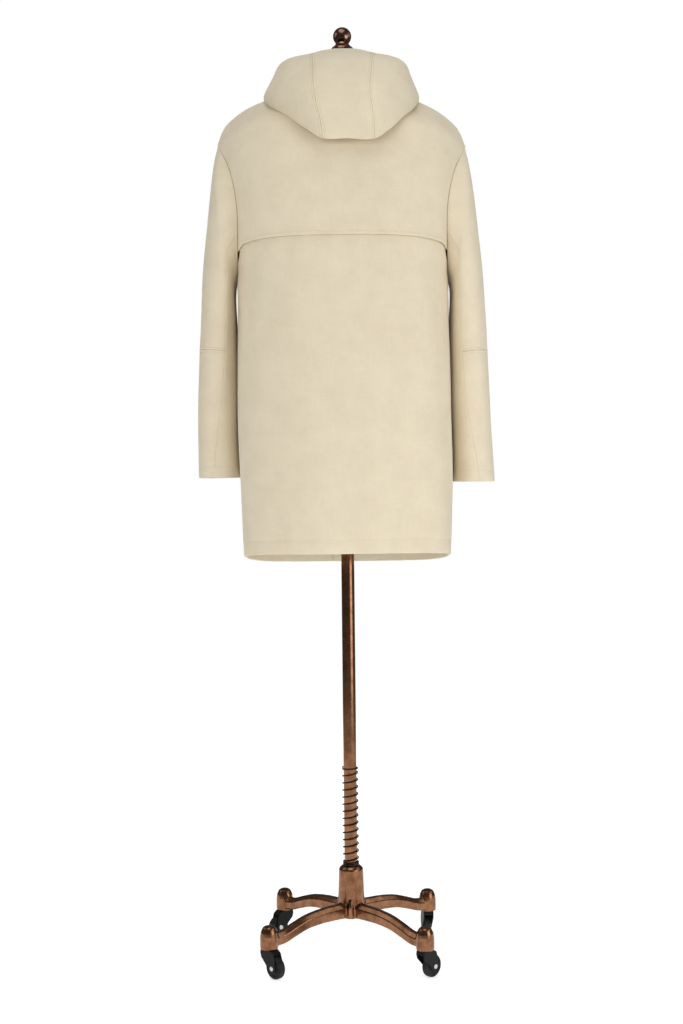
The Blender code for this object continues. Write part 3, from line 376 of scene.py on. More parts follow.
@dataclass
class Finishes:
    """Every finish of the object, built once."""

    wool: bpy.types.Material = field(init=False)
    facing: bpy.types.Material = field(init=False)
    thread: bpy.types.Material = field(init=False)
    horn: bpy.types.Material = field(init=False)
    eye: bpy.types.Material = field(init=False)
    linen: bpy.types.Material = field(init=False)
    copper: bpy.types.Material = field(init=False)
    bronze: bpy.types.Material = field(init=False)
    wire: bpy.types.Material = field(init=False)
    steel: bpy.types.Material = field(init=False)
    plastic: bpy.types.Material = field(init=False)
    rubber: bpy.types.Material = field(init=False)

    def __post_init__(self) -> None:
        """Build the materials."""
        self.wool = WoolFinish("felted_wool", (0.78, 0.69, 0.52), (0.70, 0.61, 0.45)).build()
        self.facing = WoolFinish("facing_wool", (0.76, 0.69, 0.54), (0.68, 0.61, 0.47),
                                 nap=700.0, relief=0.35).build()
        self.thread = WovenFinish("sewing_thread", (0.70, 0.61, 0.44), (0.58, 0.50, 0.35),
                                  threads=900.0).build()
        self.horn = MouldedFinish("pale_horn", (0.56, 0.45, 0.30), (0.40, 0.30, 0.19),
                                  (0.18, 0.32), 120.0, 0.05, 0.4).build()
        # Dark colour for the button's eyes: painted shade that stands in for the holes.
        self.eye = MouldedFinish("button_hole_shade", (0.10, 0.07, 0.045), (0.06, 0.04, 0.03)).build()
        self.linen = WovenFinish("form_linen", (0.66, 0.60, 0.49), (0.52, 0.46, 0.36)).build()
        self.copper = MetalFinish("aged_copper", (0.30, 0.146, 0.078), (0.15, 0.068, 0.034)).build()
        self.bronze = MetalFinish("dark_bronze", (0.30, 0.17, 0.12), (0.09, 0.045, 0.03),
                                  (0.10, 0.30), 130.0, 0.5, (1.0, 1.0, 1.0)).build()
        self.wire = MetalFinish("spring_wire", (0.085, 0.06, 0.05), (0.03, 0.02, 0.018)).build()
        self.steel = MetalFinish("axle_steel", (0.62, 0.62, 0.61), (0.40, 0.40, 0.39)).build()
        self.plastic = MouldedFinish("black_plastic", (0.006, 0.007, 0.006),
                                     (0.014, 0.015, 0.013), shine=0.15).build()
        self.rubber = MouldedFinish("tread_rubber", (0.012, 0.014, 0.013), (0.032, 0.034, 0.032),
                                    (0.5, 0.75), 900.0, 0.3, shine=0.15).build()


# Mesh helpers


def make_piece(name: str, mesh: bpy.types.Mesh, materials: Iterable[bpy.types.Material],
               sharp: float = 40.0) -> bpy.types.Object:
    """Link a mesh into the scene as a smooth-shaded object.

    Args:
        name: the piece's name.
        mesh: its mesh.
        materials: its material slots.
        sharp: angle in degrees above which an edge stays crisp.

    Returns:
        The object.
    """
    for material in materials:
        mesh.materials.append(material)
    mesh.shade_smooth()
    mesh.set_sharp_from_angle(angle=math.radians(sharp))
    piece = bpy.data.objects.new(name, mesh)
    bpy.context.scene.collection.objects.link(piece)
    return piece


def stand_for(piece: bpy.types.Object, body: str, slot: str, *nodes: str) -> None:
    """Let a piece ride with a body in place of its nodes.

    Args:
        piece: the finished piece.
        body: the body's name.
        slot: not used.
        *nodes: the nodes that it stands for.
    """
    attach(piece, body)
    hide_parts(*nodes)


def soften(piece: bpy.types.Object, voxel: float) -> None:
    """Run a piece's overlapping solids together and round their corners.

    Args:
        piece: the piece, whose mesh is replaced.
        voxel: size of the grid that it is rebuilt on.
    """
    remesh = piece.modifiers.new("Run together", "REMESH")
    remesh.mode = "VOXEL"
    remesh.voxel_size = voxel
    smoothing = piece.modifiers.new("Soften", "SMOOTH")
    smoothing.factor = SOFTEN_SHARE
    smoothing.iterations = SOFTEN_TURNS
    settle(piece)


def close_mesh(name: str, bm: bmesh.types.BMesh) -> bpy.types.Mesh:
    """Turn a bmesh into a mesh whose faces all look outward."""
    bmesh.ops.recalc_face_normals(bm, faces=bm.faces)
    mesh = bpy.data.meshes.new(name)
    bm.to_mesh(mesh)
    bm.free()
    return mesh


def settle(piece: bpy.types.Object) -> None:
    """Apply a piece's modifiers to its mesh."""
    depsgraph = bpy.context.evaluated_depsgraph_get()
    mesh = bpy.data.meshes.new_from_object(piece.evaluated_get(depsgraph))
    piece.modifiers.clear()
    piece.data = mesh


def ring_surface(bm: bmesh.types.BMesh, rings: Sequence[Sequence[Vector]],
                 material_index: int = 0, loop: bool = False) -> None:
    """Skin rings of points, and close both ends or join the last ring to the first.

    Args:
        bm: the mesh to add to.
        rings: rings with the same number of points each.
        material_index: slot of the new faces.
        loop: True joins the last ring to the first.
    """
    made = [[bm.verts.new(point) for point in ring] for ring in rings]
    faces = []
    count = len(made[0])
    pairs = list(zip(made, made[1:]))
    if loop:
        pairs.append((made[-1], made[0]))
    for low, high in pairs:
        for k in range(count):
            n = (k + 1) % count
            faces.append(bm.faces.new((low[k], low[n], high[n], high[k])))
    if not loop:
        faces.append(bm.faces.new(made[0]))
        faces.append(bm.faces.new(made[-1]))
    for face in faces:
        face.material_index = material_index


def rounded(profile: Sequence[tuple[float, float]], radius: float,
            steps: int = 3) -> list[tuple[float, float]]:
    """Round a profile's inner corners.

    Args:
        profile: (radius, z) points.
        radius: how far from a corner its rounding starts.
        steps: points of each rounding.

    Returns:
        The profile with each corner but the ends replaced by a short curve.
    """
    result = [profile[0]]
    for before, corner, after in zip(profile, profile[1:], profile[2:]):
        centre = Vector(corner)
        arms = []
        for end in (Vector(before), Vector(after)):
            arm = end - centre
            arms.append(centre + arm.normalized() * min(radius, arm.length * 0.45))
        for step in range(steps + 1):
            t = step / steps
            point = (arms[0] * (1.0 - t) ** 2 + centre * (2.0 * t * (1.0 - t))
                     + arms[1] * t ** 2)
            result.append((point.x, point.y))
    result.append(profile[-1])
    return result


def lathe_rings(profile: Sequence[tuple[float, float]], sides: int,
                place: Matrix | None = None) -> list[list[Vector]]:
    """Rings of a turned form about Z.

    Args:
        profile: (radius, z) points.
        sides: points of each ring.
        place: where to put the form.

    Returns:
        A ring for each profile point.
    """
    place = place or Matrix.Identity(4)
    rings = []
    for radius, z in profile:
        radius = max(radius, AXIS_RADIUS)
        rings.append([place @ Vector((radius * math.cos(math.tau * k / sides),
                                      radius * math.sin(math.tau * k / sides), z))
                      for k in range(sides)])
    return rings


def turned(name: str, profile: Sequence[tuple[float, float]],
           materials: Iterable[bpy.types.Material], sides: int = 64,
           place: Matrix | None = None, sharp: float = 40.0,
           loop: bool = False) -> bpy.types.Object:
    """Make a turned piece from (radius, z) points; loop leaves it bored through."""
    bm = bmesh.new()
    ring_surface(bm, lathe_rings(profile, sides, place), loop=loop)
    return make_piece(name, close_mesh(name, bm), materials, sharp)


def stations(curve: Callable[[float], Vector], low: float, high: float, step: float,
             start_marks: Sequence[float], end_marks: Sequence[float]) -> list[float]:
    """Places along a curve at even distances, with closer ones at marked distances.

    Args:
        curve: point at a place.
        low: first place.
        high: last place.
        step: even distance in metres.
        start_marks: distances from the start that get a place of their own.
        end_marks: the same from the end.

    Returns:
        Rising places from low to high.
    """
    places = [low + (high - low) * k / CURVE_SAMPLES for k in range(CURVE_SAMPLES + 1)]
    points = [curve(place) for place in places]
    lengths = [0.0]
    for a, b in zip(points, points[1:]):
        lengths.append(lengths[-1] + (b - a).length)
    total = lengths[-1]
    wanted = sorted({0.0, total, *start_marks, *(total - mark for mark in end_marks)})
    inside = max(start_marks, default=0.0)
    outside = total - max(end_marks, default=0.0)
    count = max(int((outside - inside) / step), 1)
    wanted += [inside + (outside - inside) * k / count for k in range(1, count)]
    wanted = sorted(value for value in wanted if 0.0 <= value <= total)
    result = []
    previous = -math.inf
    k = 0
    for value in wanted:
        if value - previous < LEAST_SPACING:
            continue
        previous = value
        while k < CURVE_SAMPLES - 1 and lengths[k + 1] < value:
            k += 1
        share = (value - lengths[k]) / max(lengths[k + 1] - lengths[k], NO_LENGTH)
        result.append(places[k] + (places[k + 1] - places[k]) * min(max(share, 0.0), 1.0))
    result[0], result[-1] = low, high
    return result


# Cloth panels


@dataclass(frozen=True)
class Border:
    """How a panel ends at one edge.

    drop and lift are how far the outer and inner sides turn in there, over the distance reach;
    gap is the space kept to the seam line, and stitches are the distances of its stitch rows.
    """

    drop: float = 0.7 * MM
    lift: float = 0.0
    reach: float = 1.5 * MM
    gap: float = 0.08 * MM
    stitches: tuple[float, ...] = ()
    puff: float = 0.22 * MM
    groove: float = 0.30 * MM

    def marks(self) -> list[float]:
        """Distances from the edge where the panel needs a grid line."""
        marks = [self.reach * share for share in (0.12, 0.35, 0.7, 1.0)]
        for at in self.stitches:
            marks += [at - 1.0 * MM, at - 0.45 * MM, at, at + 0.45 * MM, at + 1.0 * MM]
        marks.append(max(marks) + 2.5 * MM)
        return sorted(mark for mark in marks if mark > 0.0)

    def turn_in(self, distance: float) -> float:
        """Share of the full turn at a distance from the edge: 1 at the edge, 0 past reach."""
        if distance >= self.reach:
            return 0.0
        share = 1.0 - distance / self.reach
        return 1.0 - math.sqrt(max(1.0 - share * share, 0.0))

    def relief(self, distance: float) -> float:
        """Height that the stitching gives the outer side at a distance from the edge."""
        height = 0.0
        for at in self.stitches:
            height -= self.groove * bell(distance - at, 0.6 * MM)
        if self.stitches and distance < self.stitches[0]:
            height += self.puff * math.sin(math.pi * distance / self.stitches[0])
        return height


PLAIN_SEAM = Border()
TOPSTITCHED_SEAM = Border(drop=1.1 * MM, reach=2.0 * MM, gap=0.12 * MM,
                          stitches=(4.2 * MM,), puff=0.35 * MM, groove=0.5 * MM)
FOLDED_EDGE = Border(drop=1.3 * MM, lift=1.3 * MM, reach=1.5 * MM, gap=0.0)


def hemmed(*distances: float) -> Border:
    """A folded edge with stitch rows at the given distances."""
    return Border(drop=1.3 * MM, lift=1.3 * MM, reach=1.5 * MM, gap=0.0, stitches=distances)


@dataclass(frozen=True)
class Crease:
    """A soft fold along a line of the surface; depth below zero presses it in."""

    start: tuple[float, float, float]
    end: tuple[float, float, float]
    width: float
    depth: float

    def height(self, point: Vector) -> float:
        """How far the fold lifts the cloth at a point."""
        a, b = Vector(self.start), Vector(self.end)
        along = b - a
        share = (point - a).dot(along) / along.length_squared
        if share < -0.3 or share > 1.3:
            return 0.0
        foot = a + along * min(max(share, 0.0), 1.0)
        taper = ease((share + 0.3) / 0.4) * ease((1.3 - share) / 0.4)
        return self.depth * taper * bell((point - foot).length, self.width)


@dataclass(frozen=True)
class Drape:
    """Soft unevenness of hanging cloth: broad waves, small ones and single creases."""

    broad: float = 1.1 * MM
    broad_scale: tuple[float, float, float] = (10.0, 8.0, 3.6)
    small: float = 0.30 * MM
    small_scale: tuple[float, float, float] = (34.0, 30.0, 20.0)
    creases: tuple[Crease, ...] = ()
    seed: float = 3.1

    def height(self, point: Vector) -> float:
        """How far the cloth stands out at a point."""
        def wave(scale: tuple[float, float, float]) -> float:
            place = Vector((point.x * scale[0], point.y * scale[1], point.z * scale[2]))
            return noise.noise(place + Vector((self.seed, self.seed * 2.0, self.seed * 3.0)))

        height = self.broad * wave(self.broad_scale) + self.small * wave(self.small_scale)
        return height + sum(crease.height(point) for crease in self.creases)


def grid_normals(grid: Grid, outside: float) -> Grid:
    """Unit normals of a grid.

    Args:
        grid: rows of points.
        outside: +1 or -1, which picks the outer side.

    Returns:
        Rows of normals.
    """
    rows, columns = len(grid), len(grid[0])
    normals = []
    for r in range(rows):
        low, high = grid[max(r - 1, 0)], grid[min(r + 1, rows - 1)]
        line = grid[r]
        normals.append([((line[min(c + 1, columns - 1)] - line[max(c - 1, 0)])
                         .cross(high[c] - low[c])).normalized() * outside
                        for c in range(columns)])
    return normals


def shifted(grid: Grid, normals: Grid, distance: Callable[[int, int], float]) -> Grid:
    """The grid moved along its normals by a distance for each row and column."""
    return [[point + normal * distance(r, c)
             for c, (point, normal) in enumerate(zip(line, sides))]
            for r, (line, sides) in enumerate(zip(grid, normals))]


def distances_along(line: Sequence[Vector]) -> list[float]:
    """Distance of each point from the first, along the line."""
    result = [0.0]
    for a, b in zip(line, line[1:]):
        result.append(result[-1] + (b - a).length)
    return result


@dataclass(frozen=True)
class Hang:
    """How the coat and the form hang out of true.

    They lean to the wearer's left, whose shoulder is a little higher, and the hood's fold sways
    to the right. Each share rises over one pair of heights and falls over the next.
    """

    lean: float = 3.5 * MM
    lean_heights: tuple[float, float, float, float] = (0.84, 1.00, 1.52, 1.62)
    tilt: float = 0.0175
    tilt_heights: tuple[float, float, float, float] = (1.25, 1.45, 1.54, 1.62)
    sway: float = 0.0
    sway_heights: tuple[float, float] = (1.456, 1.555)
    sway_depth: float = 0.100

    def share(self, z: float, heights: tuple[float, float, float, float]) -> float:
        """Share at a height."""
        low, full, end, high = heights
        return ease((z - low) / (full - low)) * (1.0 - ease((z - end) / (high - end)))

    def point(self, point: Vector) -> Vector:
        """Where a point hangs."""
        low, high = self.sway_heights
        sway = (self.sway * ease((high - point.z) / (high - low))
                * ease(point.y / self.sway_depth))
        return Vector((point.x + self.lean * self.share(point.z, self.lean_heights) - sway,
                       point.y,
                       point.z + self.tilt * point.x * self.share(point.z, self.tilt_heights)))


COAT_HANG = Hang()
HOOD_HANG = Hang(sway=12.0 * MM)


@dataclass
class Stitching:
    """Rows of single stitches, gathered into one piece."""

    name: str
    length: float = 2.7 * MM
    pitch: float = 3.8 * MM
    width: float = 0.62 * MM
    height: float = 0.30 * MM
    points: list[tuple] = field(default_factory=list)
    faces: list[tuple] = field(default_factory=list)

    def add_row(self, line: Sequence[Vector], normals: Sequence[Vector], flip: bool,
                hang: Hang) -> None:
        """Lay stitches along a line on the cloth.

        Args:
            line: points on the cloth's outer side.
            normals: its normals there.
            flip: reflect the stitches to the other side of the garment.
            hang: how the cloth hangs.
        """
        if flip:
            line = [mirrored(point) for point in line]
            normals = [mirrored(normal) for normal in normals]
        line = [hang.point(point) for point in line]
        along = distances_along(line)
        k = 0
        start = self.pitch
        while start + self.length < along[-1]:
            middle = start + self.length * 0.5
            while k < len(along) - 2 and along[k + 1] < middle:
                k += 1
            span = max(along[k + 1] - along[k], NO_LENGTH)
            share = (middle - along[k]) / span
            centre = line[k].lerp(line[k + 1], share)
            forward = (line[k + 1] - line[k]) / span
            upward = normals[k].lerp(normals[k + 1], share).normalized()
            across = forward.cross(upward) * (self.width * 0.5)
            half = forward * (self.length * 0.5)
            lift = upward * self.height
            sunk = upward * -0.1 * MM
            base = len(self.points)
            self.points += [centre - half + sunk, centre - half * 0.6 + across + sunk,
                            centre + half * 0.6 + across + sunk, centre + half + sunk,
                            centre + half * 0.6 - across + sunk,
                            centre - half * 0.6 - across + sunk,
                            centre - half * 0.55 + lift, centre + half * 0.55 + lift]
            for face in ((0, 1, 6), (1, 2, 7, 6), (2, 3, 7), (3, 4, 7), (4, 5, 6, 7), (5, 0, 6),
                         (5, 4, 3, 2, 1, 0)):
                self.faces.append(tuple(base + corner for corner in face))
            start += self.pitch

    def build(self, thread: bpy.types.Material) -> bpy.types.Object:
        """Make the stitches and let them ride with the garment."""
        mesh = bpy.data.meshes.new(self.name)
        mesh.from_pydata(self.points, [], self.faces)
        piece = make_piece(self.name, mesh, [thread])
        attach(piece, Body.FORM.value)
        return piece


@dataclass
class Panel:
    """One cut panel of cloth, as a closed shell with finished edges."""

    name: str
    node: str
    grid: Grid
    outside: float
    material: bpy.types.Material
    slot: str = "cream_wool"
    thickness: float = 2.8 * MM
    borders: dict[Edge, Border] = field(default_factory=dict)
    drape: Drape | None = None
    hold: Hold = Hold.HUNG
    rests_on: tuple[str, ...] = ("dress_form",)
    flip: bool = False
    calm_reach: float = 30.0 * MM
    hang: Hang = COAT_HANG
    sharp: float = 55.0

    def build(self, stitching: Stitching) -> bpy.types.Object:
        """Args:
            stitching: takes the panel's stitch rows.

        Returns:
            The piece.
        """
        grid = self.grid
        normals = grid_normals(grid, self.outside)
        edges = self.edge_distances(grid)
        if self.drape:
            flat = grid
            grid = shifted(grid, normals, lambda r, c: self.drape.height(flat[r][c])
                           * self.seam_calm(edges, r, c))
            normals = grid_normals(grid, self.outside)
            edges = self.edge_distances(grid)

        def turned_in(r: int, c: int, name: str) -> float:
            return sum(getattr(border, name) * border.turn_in(edges[edge][r][c])
                       for edge, border in self.borders.items())

        outer = shifted(grid, normals, lambda r, c: -turned_in(r, c, "drop") + sum(
            border.relief(edges[edge][r][c]) for edge, border in self.borders.items()))
        inner = shifted(grid, normals,
                        lambda r, c: -self.thickness + turned_in(r, c, "lift"))
        for surface in (outer, inner):
            self.keep_gap(surface)
        piece = self.shell(outer, inner)
        self.declare(piece)
        self.lay_stitches(stitching, outer, normals, edges)
        return piece

    def seam_calm(self, edges: dict[Edge, list[list[float]]], r: int, c: int) -> float:
        """Share of the drape at a grid point: none at a seam, so that panels meet there."""
        share = 1.0
        for edge, border in self.borders.items():
            if border.gap > 0.0:
                share *= ease(edges[edge][r][c] / self.calm_reach)
        return share

    def edge_distances(self, grid: Grid) -> dict[Edge, list[list[float]]]:
        """Distance of each grid point from each bordered edge, along the cloth."""
        across = [distances_along(line) for line in grid]
        upward = [distances_along(column) for column in zip(*grid)]
        rows, columns = len(grid), len(grid[0])
        result = {}
        for edge in self.borders:
            if edge is Edge.START_COLUMN:
                result[edge] = across
            elif edge is Edge.END_COLUMN:
                result[edge] = [[line[-1] - value for value in line] for line in across]
            elif edge is Edge.START_ROW:
                result[edge] = [[upward[c][r] for c in range(columns)] for r in range(rows)]
            else:
                result[edge] = [[upward[c][-1] - upward[c][r] for c in range(columns)]
                                for r in range(rows)]
        return result

    def keep_gap(self, surface: Grid) -> None:
        """Draw the edges in from the seam lines."""
        for edge, border in self.borders.items():
            if border.gap <= 0.0:
                continue
            if edge is Edge.START_COLUMN:
                for line in surface:
                    line[0] = line[0] + (line[1] - line[0]).normalized() * border.gap
            elif edge is Edge.END_COLUMN:
                for line in surface:
                    line[-1] = line[-1] + (line[-2] - line[-1]).normalized() * border.gap
            else:
                end, inner = (0, 1) if edge is Edge.START_ROW else (-1, -2)
                surface[end] = [a + (b - a).normalized() * border.gap
                                for a, b in zip(surface[end], surface[inner])]

    def shell(self, outer: Grid, inner: Grid) -> bpy.types.Object:
        """Skin the two sides and the rim between them."""
        rows, columns = len(outer), len(outer[0])
        size = rows * columns
        points = [point for surface in (outer, inner) for line in surface for point in line]
        if self.flip:
            points = [mirrored(point) for point in points]
        points = [self.hang.point(point) for point in points]
        faces = []
        for r in range(rows - 1):
            for c in range(columns - 1):
                a = r * columns + c
                faces.append((a, a + 1, a + columns + 1, a + columns))
                faces.append((size + a, size + a + columns, size + a + columns + 1,
                              size + a + 1))
        for c in range(columns - 1):
            for a in (c, (rows - 1) * columns + c):
                faces.append((a, size + a, size + a + 1, a + 1))
        for r in range(rows - 1):
            for a in (r * columns, r * columns + columns - 1):
                faces.append((a, a + columns, size + a + columns, size + a))
        mesh = bpy.data.meshes.new(self.name)
        mesh.from_pydata(points, [], faces)
        bm = bmesh.new()
        bm.from_mesh(mesh)
        bmesh.ops.recalc_face_normals(bm, faces=bm.faces)
        bm.to_mesh(mesh)
        bm.free()
        return make_piece(self.name, mesh, [self.material], self.sharp)

    def declare(self, piece: bpy.types.Object) -> None:
        """Let the piece ride with the form in place of its node, which is hidden."""
        stand_for(piece, Body.FORM.value, self.slot, self.node)

    def lay_stitches(self, stitching: Stitching, outer: Grid, normals: Grid,
                     edges: dict[Edge, list[list[float]]]) -> None:
        """Lay a row of stitches at each marked distance from an edge."""
        rows, columns = len(outer), len(outer[0])
        for edge, border in self.borders.items():
            for at in border.stitches:
                away = edges[edge]
                if edge in (Edge.START_ROW, Edge.END_ROW):
                    middle = columns // 2
                    r = min(range(rows), key=lambda k: abs(away[k][middle] - at))
                    stitching.add_row(outer[r][1:-1], normals[r][1:-1], self.flip, self.hang)
                else:
                    middle = rows // 2
                    c = min(range(columns), key=lambda k: abs(away[middle][k] - at))
                    stitching.add_row([line[c] for line in outer[1:-1]],
                                      [line[c] for line in normals[1:-1]], self.flip,
                                      self.hang)


# Shapes that the coat's panels share


@dataclass(frozen=True)
class Armhole:
    """Oval seam between the body and a sleeve; angle 0 is the shoulder, 180 the underarm."""

    centre_z: float = 1.355
    half_height: float = 0.120
    half_depth: float = 0.085
    angles: tuple[float, ...] = (0, 30, 60, 90, 120, 150, 180)
    reach: tuple[float, ...] = (0.2235, 0.2185, 0.1985, 0.1865, 0.1855, 0.1875, 0.1900)

    def point(self, angle: float) -> Vector:
        """Point of the left armhole; angles below zero are on the front."""
        turn = math.radians(angle)
        return Vector((smooth(self.angles, self.reach, abs(angle)),
                       self.half_depth * math.sin(turn),
                       self.centre_z + self.half_height * math.cos(turn)))


@dataclass(frozen=True)
class BodyRow:
    """A level section of the body, from its centre back round the side to its centre front."""

    back_z: float
    edge_z: float
    front_z: float
    half_width: float
    back_y: float
    front_y: float
    turn: float


@dataclass(frozen=True)
class SkirtFold:
    """A soft upright fold: its place across the panel, its width and its depth at the hem."""

    place: float
    width: float
    depth: float


@dataclass(frozen=True)
class BodyShape:
    """Outer surface of the coat's body, from the hem to the neck and shoulder seams."""

    armhole: Armhole = Armhole()
    rows: tuple[BodyRow, ...] = (
        BodyRow(0.740, 0.731, 0.7145, 0.1875, 0.148, 0.170, 90),
        BodyRow(0.800, 0.793, 0.785, 0.1900, 0.149, 0.169, 90),
        BodyRow(0.920, 0.915, 0.910, 0.1930, 0.150, 0.168, 90),
        BodyRow(1.060, 1.057, 1.052, 0.1925, 0.150, 0.166, 90),
        BodyRow(1.160, 1.155, 1.150, 0.1910, 0.150, 0.165, 90),
        BodyRow(1.236, 1.235, 1.222, 0.1900, 0.151, 0.164, 90),
        BodyRow(1.268, 1.251, 1.250, 0.1875, 0.152, 0.162, 84),
        BodyRow(1.308, 1.295, 1.284, 0.1855, 0.153, 0.159, 76),
        BodyRow(1.368, 1.355, 1.326, 0.1865, 0.151, 0.153, 70),
        BodyRow(1.432, 1.415, 1.374, 0.1985, 0.142, 0.145, 66),
        BodyRow(1.502, 1.459, 1.430, 0.2185, 0.120, 0.131, 60),
        BodyRow(1.560, 1.475, 1.488, 0.2235, 0.085, 0.103, 60),
    )
    fullness: float = 2.6
    underarm: float = 5.0
    top: float = 11.0
    shoulder_x: tuple[float, ...] = (0.0865, 0.137, 0.173, 0.194, 0.2096, 0.2185, 0.2235)
    shoulder_z: tuple[float, ...] = (1.5705, 1.5527, 1.5370, 1.5225, 1.5080, 1.4910, 1.4750)
    neck_y: float = -0.005
    neck_angles: tuple[float, ...] = (0, 45, 90, 135, 165, 180)
    neck_radius: tuple[float, ...] = (0.0895, 0.0880, 0.0865, 0.0920, 0.0975, 0.0980)
    neck_z: tuple[float, ...] = (1.5605, 1.5675, 1.5705, 1.5315, 1.4945, 1.4880)
    neck_share: float = 0.5
    ridge_start: float = 0.8
    ridge_width: float = 0.25
    back_folds: tuple[SkirtFold, ...] = (
        SkirtFold(-0.62, 0.16, 0.0030), SkirtFold(-0.22, 0.13, -0.0024),
        SkirtFold(0.12, 0.12, 0.0026), SkirtFold(0.44, 0.13, -0.0028),
        SkirtFold(0.74, 0.12, 0.0026))
    front_folds: tuple[SkirtFold, ...] = (
        SkirtFold(0.36, 0.13, 0.0026), SkirtFold(0.68, 0.14, -0.0030))
    fold_top_z: float = 1.25
    fold_hem_z: float = 0.73

    @lru_cache(maxsize=20000)
    def value(self, name: str, row: float) -> float:
        """A column of the section table at any place between its rows."""
        return smooth(range(len(self.rows)), [getattr(r, name) for r in self.rows], row)

    def armhole_angle(self, row: float) -> float:
        """Armhole angle that goes with a row above the underarm."""
        return 180.0 * (self.top - row) / (self.top - self.underarm)

    def neck_point(self, angle: float) -> Vector:
        """Point of the neck seam at an angle from the centre back."""
        turn = math.radians(angle)
        radius = smooth(self.neck_angles, self.neck_radius, angle)
        return Vector((radius * math.sin(turn), self.neck_y + radius * math.cos(turn),
                       smooth(self.neck_angles, self.neck_z, angle)))

    def section(self, across: float, row: float, back: bool) -> Vector:
        """Point of a level section; across runs from 0 at the centre to 1 at the left edge."""
        centre_z = self.value("back_z" if back else "front_z", row)
        centre_y = self.value("back_y" if back else "front_y", row)
        if row >= self.underarm:
            edge = self.armhole.point(self.armhole_angle(row))
        else:
            edge = Vector((self.value("half_width", row), 0.0, self.value("edge_z", row)))
        turn = math.radians(self.value("turn", row))
        exponent = 2.0 / self.fullness
        angle = across * turn
        x = edge.x * power(math.sin(angle) / math.sin(turn), exponent)
        end = power(math.cos(turn), exponent)
        share = (power(math.cos(angle), exponent) - end) / (1.0 - end)
        y = edge.y + (centre_y - edge.y) * share
        z = centre_z + (edge.z - centre_z) * abs(across) ** 3
        return Vector((x, y if back else -y, z))

    def top_point(self, across: float, back: bool) -> Vector:
        """Point of the top edge: the neck seam, then the shoulder seam out to the armhole."""
        if across <= self.neck_share:
            angle = across / self.neck_share * 90.0
            return self.neck_point(angle if back else 180.0 - angle)
        share = (across - self.neck_share) / (1.0 - self.neck_share)
        x = self.shoulder_x[0] + (self.shoulder_x[-1] - self.shoulder_x[0]) * share
        return Vector((x, self.neck_y * (1.0 - share),
                       smooth(self.shoulder_x, self.shoulder_z, x)))

    def point(self, across: float, row: float, back: bool) -> Vector:
        """Point of the body's outer surface.

        Args:
            across: place from -1 at the right edge over 0 at the centre to 1 at the left.
            row: place in the section table, 0 at the hem.
            back: True for the back, False for the front.

        Returns:
            The point.
        """
        if across < 0.0:
            return mirrored(self.point(-across, row, back))
        last = self.top - 1
        if row <= last:
            return self.section(across, row, back)
        if across >= 1.0:
            edge = self.armhole.point(self.armhole_angle(row))
            return Vector((edge.x, edge.y if back else -edge.y, edge.z))
        before = self.section(across, last - 1, back)
        lower = self.section(across, last, back)
        top = self.top_point(across, back)
        over = self.section(across, last, not back)
        ridge = ease((across - self.neck_share * self.ridge_start) / self.ridge_width)
        beyond = (top * 2.0 - lower) * (1.0 - ridge) + over * ridge
        return smooth((0.0, 1.0, 2.0, 3.0), (before, lower, top, beyond), 1.0 + row - last)

    def fold(self, across: float, z: float, back: bool) -> float:
        """How far the skirt's soft folds stand out."""
        share = ease((self.fold_top_z - z) / (self.fold_top_z - self.fold_hem_z))
        folds = self.back_folds if back else self.front_folds
        return share * sum(f.depth * bell(across - f.place, f.width) for f in folds)

    def grid(self, columns: Sequence[float], rows: Sequence[float], back: bool) -> Grid:
        """Grid of the body's surface with the skirt's folds.

        Args:
            columns: places across.
            rows: places in the section table.
            back: True for the back, False for the front.

        Returns:
            Rows of points from the hem up.
        """
        grid = [[self.point(across, row, back) for across in columns] for row in rows]
        normals = grid_normals(grid, -1.0 if back else 1.0)
        return shifted(grid, normals,
                       lambda r, c: self.fold(columns[c], grid[r][c].z, back))


@dataclass(frozen=True)
class SleeveRow:
    """A section of the sleeve: its outer and inner line, half depth and centre."""

    outer_x: float
    outer_z: float
    inner_x: float
    inner_z: float
    depth: float
    centre_y: float


